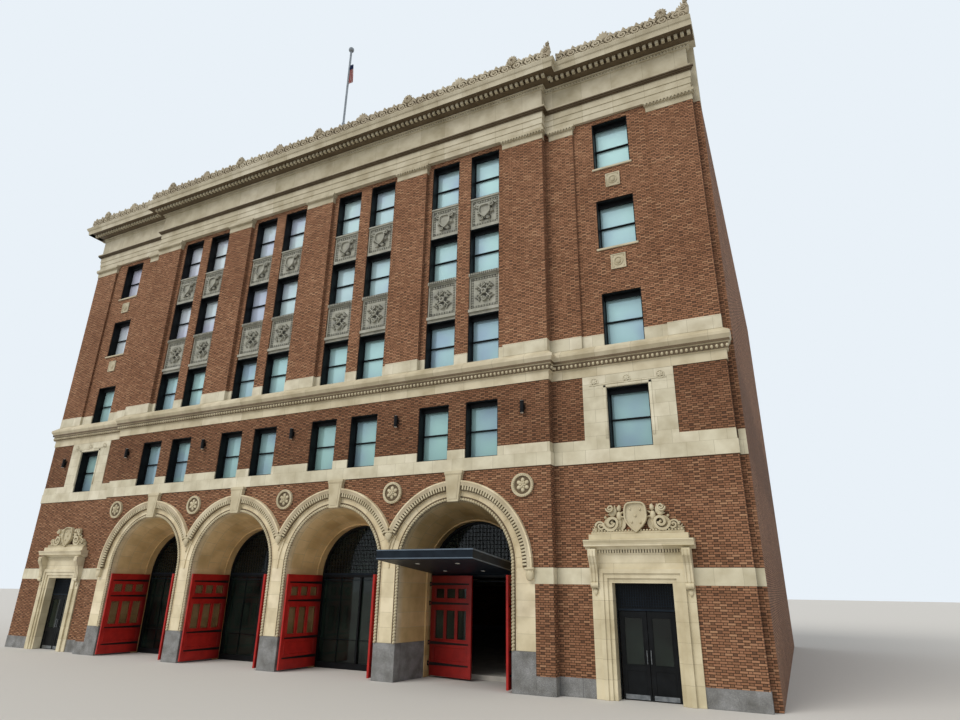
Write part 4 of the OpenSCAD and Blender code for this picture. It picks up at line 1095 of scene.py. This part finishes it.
hidden_count = len(side_places) + len(back_places)
pieces = []
for row_places, half, span, face in front_rows:
    unit = window_trim(half, span, 0.33)
    pieces += [placed(unit, (x, face, 0)) for x in row_places]
    dropped(unit)
for span in side_spans:
    unit = window_trim(0.678, span, 0.2)
    pieces += [on_hidden_wall(unit, i) for i in range(hidden_count)]
    dropped(unit)
settle(joined("window_linings", pieces), black_paint)

# %% [markdown]
# ## Roller shades
# Most rooms have a pale vinyl shade drawn down behind the glass, and each hangs at its own height. They give the
# panes their milky look, and the dark strip under a short one shows where the room begins. Each shade is a thin
# flat sheet, joined into one piece for each storey.

# %% Shade material
shade_vinyl, tree, here = blank("pale_vinyl_roller_shade", Roughness=0.7)
drift = add(tree, "TexNoise", {"Vector": here, "Scale": 0.8, "Detail": 1.0})
vinyl = add(tree, "ValToRGB", drift, stops=[(0.35, "#dde8f2"), (0.5, "#dceef2"), (0.65, "#d3f1ee")])
weave = add(tree, "TexWave", {"Vector": here, "Scale": 90.0, "Distortion": 0.0}, bands_direction="Z")
threads = add(tree, "ValToRGB", weave.outputs["Fac"], stops=[(0.0, "#f2f2f2"), (1.0, "#ffffff")])
wire(tree, add(tree, "Mix", {0: 1.0, 6: vinyl, 7: threads}, **multiplied))
print("shade vinyl ready")

# %% Hang the shades
headroom, side_gap = 0.05, 0.045  # between a shade and its window's frame


def shade(x, y, top, width, length):
    return new("shade", "plane", size=1, location=(x, street(y), top - headroom - length / 2), rotation=facing,
               scale=(width, length, 1))


def hang(name, pieces, sizes, tallest):
    storey = settle(joined(name, pieces), shade_vinyl)
    area = sum(width * length for width, length in sizes)
    sum(width for width, _ in sizes)
    print(name, round(area, 2), "m2")


drops = {7.090: (0.9, 0.62, 0.95, 0.9, 0.97, 0.42, 0.68, 0.88, 0.97, 0.97),
         10.619: (0.6, 0.9, 0.35, 0.95, 0.55, 0.62, 0.75, 0.62, 0.9, 0.97),
         14.317: (0.95, 0.7, 0.95, 0.6, 0.97, 0.62, 0.5, 0.93, 0.97, 0.97),
         17.728: (0.97, 0.9, 0.97, 0.8, 0.97, 0.97, 0.97, 0.9, 0.8, 0.92)}
for bottom, amounts in drops.items():
    pieces, sizes, fulls = [], [], []
    spots = [(x, half, span[1], face) for row_places, half, span, face in front_rows if span[0] == bottom
             for x in row_places]
    for (x, half, top, face), amount in zip(spots, amounts):
        fulls.append(top - bottom - 2 * headroom)
        sizes.append((2 * half - 2 * side_gap, fulls[-1] * amount))
        pieces.append(shade(x, face + 0.43, top, *sizes[-1]))
        opened(pieces[-1])
        bpy.ops.mesh.subdivide(number_cuts=3)
        closed(pieces[-1])
    hang(f"roller_shades_{round(bottom)}_m", pieces, sizes, max(fulls))

# %% [markdown]
# ## Fittings of the red leaves
# Each leaf hangs on four iron straps that run almost across it, with a bolt every hand's width, and red mouldings
# stand round its lights and its foot panel. They move with the leaf, so they are modelled once on a leaf that lies
# along X with its hinge at the origin. A copy for each of the eight leaves is then turned with its leaf and made to
# ride on its body. The mouldings could be cut from the leaf itself, but loose frames keep its solid untouched.

# %% Glass of the leaves
# painted reflection: the tan colour in patches stands in for the warm stone reflected in the leaves' glass
leaf_glass, tree, here = blank("leaf_glass_with_painted_reflection", Roughness=0.12, IOR=1.52, Alpha=0.3, Specular_IOR_Level=0.3)
tan_patches = add(tree, "TexNoise", {"Vector": here, "Scale": 4.0, "Detail": 4.0})
wire(tree, add(tree, "ValToRGB", tan_patches, stops=[(0.35, "#55472e"), (0.7, "#77653f")]))
print("leaf glass ready")

# %% Mouldings and panes of one leaf
leaf_lights = [(0.230 + 0.490 * i, low, 0.625 + 0.490 * i, high) for low, high in ((1.22, 2.16), (2.53, 2.87))
               for i in range(3)]


def leaf_frame(x_low, z_low, x_high, z_high, width, y_low, y_high):
    """A flat frame on the leaf, with its edges eased."""
    return rounded(rim("frame", (x_low, y_low, z_low), (x_high, y_high, z_high), width), 0.005)


pieces = [leaf_frame(x_low - 0.004, z_low - 0.004, x_high + 0.004, z_high + 0.004, 0.018, -0.008, 0.078)
          for x_low, z_low, x_high, z_high in leaf_lights]
pieces += [leaf_frame(0.175, low, 1.66, high, 0.022, face, face + 0.012)
           for low, high in ((0.535, 0.985), (1.17, 2.21), (2.48, 2.92)) for face in (-0.007, 0.065)]
leaf_mouldings = joined("leaf_mouldings", pieces)
panes = [block("pane", (x_low + 0.01, 0.032, z_low + 0.01), (x_high - 0.01, 0.038, z_high - 0.01))
         for x_low, z_low, x_high, z_high in leaf_lights]
leaf_panes = joined("leaf_panes", panes)
print("panes:", len(panes), "frames:", len(pieces))

# %% Straps and bolts of one leaf
pieces = []
for height in (0.43, 1.09, 2.37, 3.01):
    for low, high, outer in ((-0.011, 0.002, -0.014), (0.068, 0.081, 0.084)):
        bar = block("bar", (0.035, low, height - 0.05), (1.70, high, height + 0.05))
        shaped(bar, lambda centre, normal: normal.x > 0.9, bpy.ops.transform.resize, value=(1, 1, 0.45))
        bolt = new("bolt", "cylinder", vertices=8, radius=0.014, depth=0.010, location=(0.12, outer, height),
                   rotation=facing)
        pieces += [rounded(bar, 0.004), row(bolt, 8, (0.205, 0, 0))]
leaf_straps = joined("leaf_straps", pieces)
print("strap faces:", len(leaf_straps.data.polygons))

# %% Copies on the eight leaves
fittings = (("red_mouldings", leaf_mouldings, red_gloss), ("iron_straps", leaf_straps, iron_straps),
            ("leaf_panes", leaf_panes, leaf_glass))
for i in range(4):
    for side in ("left", "right"):
        swing = 10.0 if (i, side) == (3, "left") else 94.5
        for name, source, finish in fittings:
            twin = placed(source, (-1.83, street(1.80), 0), turn=-swing, about=(0, 0, 0), flip=side == "right")
            twin.data.transform(Matrix.Translation((centres[i], 0, 0)))
            twin.name = f"{name}_{i + 1}_{side}"
            # painted shade: the almost shut leaf gets the dark glass, which paints the dark room behind its lights
            if finish == leaf_glass and swing < 90:
                finish = dark_glass  # the leaf that is almost shut has a dark room behind its lights
            settle(twin, finish, f"red_leaf_{i + 1}_{side}")
dropped(leaf_mouldings, leaf_straps, leaf_panes)

# %% [markdown]
# ## The two doorways
# Each doorway has a bracketed cornice with a crest over it: a plain shield between two winged figures whose tails
# curl up into scrolls. The crest here is a free design of that kind. It is built from the same scrolls and leaves as
# the spandrels, with balls for the heads and a fan of leaves for each wing. One half is modelled and mirrored, and
# the finished crest stands in for the blocky solid of the CAD model.

# %% Half of the crest
crest_foot = 4.46
half = [volute("scroll", x, crest_foot + z, radius, band, depth, face, steps, way)
        for x, z, radius, band, depth, face, steps, way in (
            (0.77, 0.33, 0.215, 0.34, 0.13, -0.05, 9, -1), (1.10, 0.24, 0.13, 0.36, 0.11, -0.04, 7, 1),
            (0.78, 0.76, 0.10, 0.4, 0.12, -0.06, 7, -1))]
half += [fan("wing", 0.62, crest_foot + 0.56, (0.30, 0.34, 0.34, 0.30, 0.24), (2, 22, 42, 62, 84), 0.13, 0.055, -0.05),
         fan("end_leaf", 1.20, crest_foot + 0.08, (0.20, 0.22, 0.20, 0.17), (8, 34, 58, 80), 0.09, 0.06, -0.03)]
half += [leaf(name, x, crest_foot + z, length, width, lean, depth, face)
         for name, x, z, length, width, lean, depth, face in (
             ("tail", 0.53, 0.10, 0.52, 0.17, -8, 0.10, -0.03), ("skirt", 0.66, 0.06, 0.34, 0.16, -38, 0.09, -0.03),
             ("arm", 0.52, 0.56, 0.24, 0.07, -62, 0.07, -0.08), ("arm", 0.50, 0.50, 0.22, 0.07, -95, 0.06, -0.08),
             ("hair", 0.47, 0.76, 0.10, 0.13, 12, 0.06, -0.09))]
half += [ball("body", 0.50, -0.08, crest_foot + 0.52, 0.085, 0.08, 0.15, 12, 8),
         ball("head", 0.49, -0.11, crest_foot + 0.745, 0.068, 0.075, 0.085, 12, 8)]
half += [ball("bud", x, -0.06, crest_foot + z, size, size, size)
         for x, z, size in ((0.93, 0.50, 0.045), (0.98, 0.10, 0.05), (1.24, 0.30, 0.04))]
half += [disc("back", x, -0.03, crest_foot + z, radius, 0.06, 24)
         for x, z, radius in ((0.77, 0.30, 0.215), (1.09, 0.22, 0.14), (0.52, 0.3, 0.2))]
# painted shade: dark discs in the eyes of the scrolls
dark = [disc("eye", x, -0.10, crest_foot + z, radius, 0.02, 12)
        for x, z, radius in ((0.715, 0.33, 0.052), (1.085, 0.24, 0.03))]
half = joined("half_crest", half)
print("half crest:", len(half.data.polygons), "faces")

# %% The whole crest, twice
door_pair, crest_pair = (-13.58, 13.58), (-13.56, 13.56)
pieces = [rounded(block("base", (-1.37, street(-0.16), crest_foot), (1.37, street(0.0), crest_foot + 0.075)), 0.012),
          rounded(shield("coat", 0.34, 0.455, 0.16, 0.045, -0.06, crest_foot + 0.475), 0.012, 2),
          row(ball("bead", -1.305, -0.15, crest_foot + 0.095, 0.034, 0.03, 0.032), 30, (0.09, 0, 0)),
          placed(half, flip=True), half]
pieces += [ball("charge", x, -0.165, crest_foot + z, 0.032, 0.02, 0.04)
           for x, z in ((-0.15, 0.72), (0.14, 0.70), (0.0, 0.52), (-0.12, 0.34), (0.13, 0.32))]
crests = copies("carved_door_crests", joined("crest", pieces), crest_pair, ornament, 42, end_setback)
copies("scroll_eyes", joined("eyes", mirrored_all(dark) + dark), crest_pair, shade_brown_clay, None, end_setback)
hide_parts("door_crests")

# %% Dentils, brackets and mouldings of the surround
bracket_foot = 2.935
tooth = block("tooth", (-1.195, street(-0.125), 3.925), (-1.150, street(-0.055), 4.02))
pieces = [row(tooth, 30, (0.081, 0, 0)), block("bed", (-1.235, street(-0.085), 3.885), (1.235, street(-0.055), 3.922))]
profile = [(-0.07, 0.0), (-0.11, 0.19), (-0.12, 0.42), (-0.175, 0.64), (-0.31, 0.90), (-0.31, 1.06)]
bracket = []
for low_x, high_x, proud in ((1.245, 1.285, 0.018), (1.325, 1.39, 0.024), (1.43, 1.47, 0.018)):
    for (y_low, z_low), (y_high, z_high) in zip(profile, profile[1:]):
        rib = block("rib", (low_x, street(y_low - 0.06 - proud), bracket_foot + z_low),
                    (high_x, street(y_low - 0.05), bracket_foot + z_high))
        bracket.append(shaped(rib, lambda centre, normal: normal.z > 0.9, bpy.ops.transform.translate,
                              value=(0, y_high - y_low, 0)))
bracket += [leaf("drop", 1.357, 2.93, 0.20, 0.15, 180, 0.05, -0.07),
            ball("foot_roll", 1.357, -0.14, 3.02, 0.118, 0.09, 0.085, 12, 8),
            ball("head_roll", 1.357, -0.30, 3.90, 0.118, 0.09, 0.10, 12, 8)]
doorway = joined("doorway", pieces + bracket + mirrored_all(bracket))
copies("doorway_carving", doorway, door_pair, surround_blocks, 35, end_setback)
# painted shade: a dark strip behind the dentils stands in for the shade between them
gap = block("gap", (-1.2, street(-0.063), 3.925), (1.2, street(-0.055), 4.018))
copies("doorway_hollows", gap, door_pair, shade_brown_clay, None, end_setback)

# %% Transom grilles
rail = rounded(block("transom_rail", (-0.815, street(0.625), 2.325), (0.815, street(0.642), 2.385)), 0.005)
bars = [row(block("bar", (-0.79, street(0.642), 2.415), (-0.776, street(0.656), 3.03)), 23, (0.0718, 0, 0)),
        row(block("bar", (-0.80, street(0.646), 2.46), (0.80, street(0.660), 2.474)), 8, (0, 0, 0.0735)), rail]
copies("transom_grilles", joined("grille", bars), door_pair, canopy_paint)

# %% Fittings of the door leaves
leaf_trim = joined("leaf_trim", [rim("pane_frame", (0.125, -0.053, 0.885), (0.691, -0.043, 2.165), 0.028),
                                 rim("foot_frame", (0.125, -0.051, 0.165), (0.691, -0.043, 0.775), 0.024)])
rounded(leaf_trim, 0.003)
tube = new("tube", "cylinder", vertices=12, radius=0.011, depth=0.36, location=(0.752, -0.092, 1.12))
posts = [block("post", (0.744, -0.092, z - 0.008), (0.760, -0.044, z + 0.008)) for z in (0.97, 1.27)]
kick_plate = rounded(block("kick_plate", (0.07, -0.0485, 0.03), (0.75, -0.044, 0.15)), 0.001)
pull = joined("pull", [rounded(tube, 0.004, 2), *posts, kick_plate])
pane = block("pane", (0.13, -0.03, 0.89), (0.686, -0.024, 2.16))
for x, house in zip(door_pair, ("west", "east")):
    for side in ("left", "right"):
        for name, source, finish in (("door_trim", leaf_trim, black_paint), ("door_pull", pull, pole_steel),
                                     ("door_pane", pane, dark_glass)):
            twin = placed(source, (-0.809, street(0.695), 0), flip=side == "right")
            twin.data.transform(Matrix.Translation((x, 0, 0)))
            twin.name = f"{house}_{name}_{side}"
            settle(twin, finish, f"{house}_door_{side}")
dropped(leaf_trim, pull, pane)

# %% [markdown]
# ## The cresting
# Along the top of the cornice runs a cresting of scrolls and pointed leaves, whose tips break the line of the sky.
# Round bosses stand in it over the piers, palmettes midway between them, and a tall half leaf marks each forward
# corner. A single scroll unit is modelled from two volutes and six leaves. It is repeated along every run by an Array
# modifier, in front of a low slab. The whole stands in for the plain slab of the CAD model.

# %% One unit of the running scroll
crest_low, crest_side, side_step, side_units = 22.62, -17.24, 0.505, 46
unit = [volute("scroll", -0.03, crest_low + 0.31, 0.175, 0.36, 0.08, -0.64, 6),
        volute("scroll", 0.17, crest_low + 0.20, 0.105, 0.38, 0.07, -0.64, 5, -1)]
unit += [leaf("crest_leaf", x, crest_low + z, length, width, lean, 0.06, -0.66)
         for x, z, length, width, lean in (
             (-0.14, 0.42, 0.20, 0.15, -30), (0.0, 0.46, 0.23, 0.17, -6), (0.14, 0.40, 0.22, 0.15, 22),
             (0.22, 0.30, 0.20, 0.12, 48), (-0.17, 0.04, 0.24, 0.13, -38), (0.02, 0.02, 0.22, 0.13, 8))]
unit = joined("crest_unit", unit)
print("scroll unit:", len(unit.data.polygons), "faces")

# %% The unit along every run
pieces, slabs = [], []
for start, end, depth, count in ((-11.62, 11.60, 0.0, 46), (-17.26, -11.66, end_setback, 11),
                                 (11.78, 16.84, end_setback, 10)):
    pitch = (end - start) / count
    pieces.append(row(placed(unit, (start + pitch / 2, depth, 0)), count, (pitch, 0, 0)))
    for near, far, low, high in ((-0.638, -0.54, 0.0, 0.56), (-0.70, -0.60, 0.0, 0.07), (-0.67, -0.56, 0.50, 0.55)):
        slabs.append(block("slab", (start, street(depth + near), crest_low + low),
                           (end, street(depth + far), crest_low + high)))
pieces.append(row(placed(unit, (-half_width, end_setback + 0.3, 0), turn=-90), side_units, (0, side_step, 0)))
for left, right, high in ((-17.278, -17.18, 0.52), (-17.34, crest_side, 0.07)):
    slabs.append(block("slab", (left, street(-0.28), crest_low), (right, street(23.9), crest_low + high)))
dropped(unit)
print("runs of scrolls:", len(pieces))

# %% Bosses, palmettes and corner leaves
boss_height = crest_low + 0.65
boss = joined("boss", [spun(leaf("flute", 0, boss_height + 0.085, 0.19, 0.095, 0, 0.045, -0.745), 11, 330,
                            (0, street(0), boss_height)),
                       disc("disc", 0, -0.69, boss_height, 0.235, 0.12, 28),
                       hoop("collar", 0, -0.77, boss_height, 0.10, 0.03, 20, 8)])
# painted shade: a dark disc for the open mouth of each boss
mouth = disc("mouth", 0, -0.762, boss_height, 0.085, 0.03, 16)
palmette = fan("palmette", 0, crest_low + 0.46, (0.24, 0.32, 0.37, 0.39, 0.37, 0.32, 0.24),
               (-66, -44, -22, 0, 22, 44, 66), 0.19, 0.07, -0.66)
ribs = enumerate(((0.97, 0), (0.92, -5), (0.83, -11), (0.73, -18), (0.62, -27), (0.50, -39)))
half_leaf = [leaf("rib", 11.615 - 0.012 * i, crest_low + 0.03, length, 0.195, lean, 0.055, -0.70)
             for i, (length, lean) in ribs]
half_leaf += [volute("curl", x, crest_low + z, radius, 0.36, 0.07, -0.72, 6)
              for x, z, radius in ((11.46, 0.17, 0.14), (11.53, 0.50, 0.11), (11.60, 0.77, 0.07))]
half_leaf = joined("half_leaf", half_leaf)
print("boss:", len(boss.data.polygons), "palmette:", len(palmette.data.polygons), "faces")

# %% Place them and finish the cresting
mouths = []
for x, depth in [(i * bay_pitch, 0.0) for i in (-2, -1, 0, 1, 2)] + [(-15.97, end_setback), (15.97, end_setback)]:
    for source, copied in ((boss, pieces), (mouth, mouths)):
        copied.append(placed(source, (x, depth, 0), about=(0, street(-0.7), crest_low + 0.45), size=0.85))
palmette_places = [(x, 0.0) for x in centres] + [(-13.75, end_setback), (13.75, end_setback)]
pieces += [placed(palmette, (x, depth, 0)) for x, depth in palmette_places]
pieces += [placed(half_leaf, shift) for shift in ((0, 0, 0), (half_width - centre_half - 0.37, end_setback, 0))]
dropped(boss, mouth, palmette, half_leaf)
carved = settle(joined("carved_cresting", pieces), crest_clay, smooth=45)
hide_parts("cresting")
# painted shade: the slabs behind the scrolls and the mouths of the bosses are in the dark clay
settle(joined("cresting_slabs", slabs), shade_brown_clay)
settle(joined("boss_hollows", mouths), shade_brown_clay)

# %% [markdown]
# ## Shop fronts in the arches
# Behind the red leaves each arch is filled by a steel shop front. A fine grid divides the glass of its round top, a
# deep plate hides the beam at the height of the leaves, and a few slim bars divide the big lights below. The bars
# of the grid could be cut from a plate, but straight bars trimmed to the circle give the same look with few faces.

# %% Grids in the round tops
light_radius, light_foot, grid_pitch, half_bar = 1.79, 3.265, 0.14, 0.008


def half_chord(distance):
    return math.sqrt(light_radius ** 2 - distance ** 2)


bars = [block("bar", (x - half_bar, street(1.925), 3.37), (x + half_bar, street(1.945), light_foot + half_chord(x)))
        for x in (i * grid_pitch for i in range(-12, 13))]
bars += [block("bar", (-half_chord(z - light_foot), street(1.93), z - half_bar),
               (half_chord(z - light_foot), street(1.95), z + half_bar))
         for z in (3.375 + i * grid_pitch for i in range(1, 12))]
copies("fan_light_grids", joined("grid", bars), centres, black_paint)

# %% Beam plates and slim bars
plate = rounded(block("plate", (-1.80, street(1.888), 3.305), (1.80, street(1.905), 3.372)), 0.006)
fillet = rounded(block("fillet", (-1.78, street(1.889), 3.11), (1.78, street(1.905), 3.135)), 0.004)
slim = [block("slim", (left, street(1.945), low), (right, street(1.975), high)) for left, right, low, high in (
    (-0.964, -0.936, 0.21, 3.22), (0.806, 0.834, 0.21, 3.22), (-1.72, 1.76, 0.985, 1.01))]
copies("beam_plates", joined("front", [plate, fillet]), centres, canopy_paint)
copies("shop_front_bars", joined("slim", slim), centres[:3], black_paint)

# %% [markdown]
# ## The canopy
# A flat steel canopy shelters the entrance in the right arch. Its edge is a channel, with a lip along the top and a
# thinner one along the bottom, and four round lamps sit in its underside. The lips are a lighter blue-grey, a painted
# highlight for the light that they catch. The canopy falls towards the wall, so its parts are modelled level at the
# origin and then tilted and moved into place together.

# %% Lips and lamps of the canopy
edges = joined("canopy_edges", [block("lip", low, high) for low, high in (
    ((-1.70, -0.016, 0.262), (1.70, 0.03, 0.30)), ((-1.70, 0.0, 0.262), (-1.66, 3.7, 0.30)),
    ((1.66, 0.0, 0.262), (1.70, 3.7, 0.30)), ((-1.692, -0.0015, 0.02), (1.692, 0.03, 0.05)),
    ((1.66, 0.0, 0.012), (1.694, 3.7, 0.04)), ((-1.694, 0.0, 0.012), (-1.66, 3.7, 0.04)))])
lamp_places = [(x, y) for x in (-0.72, 0.72) for y in (0.92, 2.75)]
rings = joined("canopy_lamp_rings", [new("ring", "torus", major_radius=0.075, minor_radius=0.012, major_segments=20,
                                         minor_segments=6, location=(x, y, 0.0)) for x, y in lamp_places])
lamps = joined("canopy_lamps", [new("lamp", "cylinder", vertices=20, radius=0.066, depth=0.02, location=(x, y, -0.001))
                                for x, y in lamp_places])
slope = Matrix.Translation((centres[3], street(-1.95), 3.685)) @ Matrix.Rotation(math.radians(-5.3), 4, "X")
for piece in (edges, lamps, rings):
    piece.data.transform(slope)
settle(edges, lip_highlight_paint)
settle(rings, pole_steel, smooth=60)
settle(lamps, lamp_lens)

# %% [markdown]
# ## Wall lights, flagpole and flag
# Between the windows of the second storey hang slim wall lights, dark tubes with a rim at each end and a pale lens.
# The flagpole on the roof ends in a ball, with a flag that hangs limp beside it. A flag in no wind falls into
# upright folds: a sheet can be drawn as a zigzag of twelve strips, and cloth simulation isn't needed for a piece
# that is seen as a few pixels.

# %% Rims and lenses of the wall lights
lights = [(x, -0.11, 8.45) for x in (-10.08, -5.025, 0.0, 5.025, 10.08)] + [(-15.38, 0.23, 8.40)]


def tubes(name, heights, finish, edge=0.0, **size):
    """A short upright cylinder at each height of every light; edge is the width of its bevel."""
    pieces = [new("tube", "cylinder", location=(x, street(y), z + height), **size)
              for x, y, z in lights for height in heights]
    for piece in pieces if edge else ():
        rounded(piece, edge)
    return settle(joined(name, pieces), finish)


tubes("wall_light_rims", (0.02, 0.13, 0.40), iron_straps, 0.006, vertices=20, radius=0.079, depth=0.03)
tubes("wall_light_lenses", (-0.003, 0.423), lamp_lens, vertices=16, radius=0.058, depth=0.01)

# %% Cloth of the flag
flag_cloth, tree, here = blank("red_white_and_blue_woven_nylon", Roughness=0.8, Specular_IOR_Level=0.2)
parts = add(tree, "SeparateXYZ", here).outputs
folds = add(tree, "MULTIPLY", add(tree, "ADD", parts["X"], parts["Y"]), 9.0)
red, white = "#a32a2e", "#d9d5cf"
cloth = add(tree, "ValToRGB", add(tree, "FRACT", folds),
            stops=[(0.0, red), (0.5, red), (0.56, white), (0.94, white), (1.0, red)])
upper = add(tree, "GREATER_THAN", parts["Z"], 31.22)
fold_shade = add(tree, "TexNoise", {"Vector": here, "Scale": 7.0, "Detail": 3.0})
blue = add(tree, "ValToRGB", fold_shade, stops=[(0.35, "#303a5c"), (0.7, "#4a557a")])
wire(tree, add(tree, "Mix", {0: upper, 6: cloth, 7: blue}, **blended))
print("cloth nodes:", len(tree.nodes))

# %% The limp flag
flag_width, flag_drop, strip_count = 0.95, 1.35, 12
flag_sheet = new("limp_flag", "grid", x_subdivisions=strip_count, y_subdivisions=14, size=1, rotation=facing,
                 scale=(flag_width, flag_drop, 1))
for vertex in flag_sheet.data.vertices:
    strip = round((vertex.co.x / flag_width + 0.5) * strip_count)
    down = flag_drop / 2 - vertex.co.z
    vertex.co.x = -1.775 + strip * (0.016 + 0.006 * down)
    vertex.co.y = street(3.0) + (0.037 if strip % 2 else -0.037)
    vertex.co.z += 30.90
settle(flag_sheet, flag_cloth)
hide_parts("flag")
nodes["flag"].data.materials.clear()
nodes["flag"].data.materials.append(flag_cloth)

# %% [markdown]
# ## Plaques and window surrounds of the end bays
# Under the upper windows of each end bay hangs a small square plaque with an oval boss in a ring. The window of
# the second storey has a broad plain surround with a raised inner edge, and rosettes at the height of its head.
# They are modelled for the right bay and mirrored to the left one.

# %% Plaques
end_x = end_pair[1]
plaque = [rim("edge", (-0.262, street(0.392), -0.282), (0.262, street(0.412), 0.282), 0.035),
          hoop("ring", 0, 0.405, 0, 0.15, 0.022, 28, 8), ball("boss", 0, 0.405, 0, 0.085, 0.045, 0.11, 14, 9)]
plaque += [ball("corner", x, 0.405, z, 0.03, 0.02, 0.03) for x in (-0.18, 0.18) for z in (-0.20, 0.20)]
plaque = joined("plaque", plaque)
plaques = [placed(plaque, (end_x, 0, sill - 0.62)) for sill, _ in upper_spans]
dropped(plaque)
settle(joined("window_plaques", plaques + mirrored_all(plaques)), ornament, smooth=50)

# %% Surround of the second storey window
rosette = joined("rosette", [
    spun(ball("petal", 0, 0.31, 0.055, 0.032, 0.03, 0.05, rings=5), 5, 300, (0, street(0), 0)),
    ball("heart", 0, 0.30, 0, 0.03, 0.03, 0.03), hoop("ring", 0, 0.315, 0, 0.125, 0.018, 24, 6)])
surround = [placed(rosette, (end_x + x, 0, 9.335)) for x in (-1.07, 0.0, 1.07)]
dropped(rosette)
edges = [block("edge", (end_x + left, street(front), low), (end_x + right, street(0.325), high))
         for left, right, front, low, high in (
             (-0.78, -0.69, 0.302, 7.42, 9.19), (0.69, 0.78, 0.302, 7.42, 9.19),
             (-0.78, 0.78, 0.302, 9.108, 9.195), (-1.25, 1.25, 0.30, 9.215, 9.24))]
surround.append(rounded(joined("edges", edges), 0.006))
settle(joined("end_window_edges", surround + mirrored_all(surround)), course_blocks, smooth=45)

# %% [markdown]
# ## Shades of the side and the back
# The sides that the photo hides repeat the front's windows, and their rooms have shades too. They are plainer:
# one flat sheet in each window, all of one storey joined into one piece.

# %% Shades on the hidden walls
hidden_width = 2 * 0.678 - 2 * side_gap
for low, high in side_spans:
    pieces, sizes = [], []
    full = high - low - 2 * headroom
    for i in range(hidden_count):
        sizes.append((hidden_width, full * (0.55, 0.8, 0.65, 0.9)[(i * 3 + round(low)) % 4]))
        sheet = shade(0, 0.38, high, *sizes[-1])
        pieces.append(on_hidden_wall(sheet, i))
        dropped(sheet)
    hang(f"side_and_back_shades_{round(low)}_m", pieces, sizes, full)
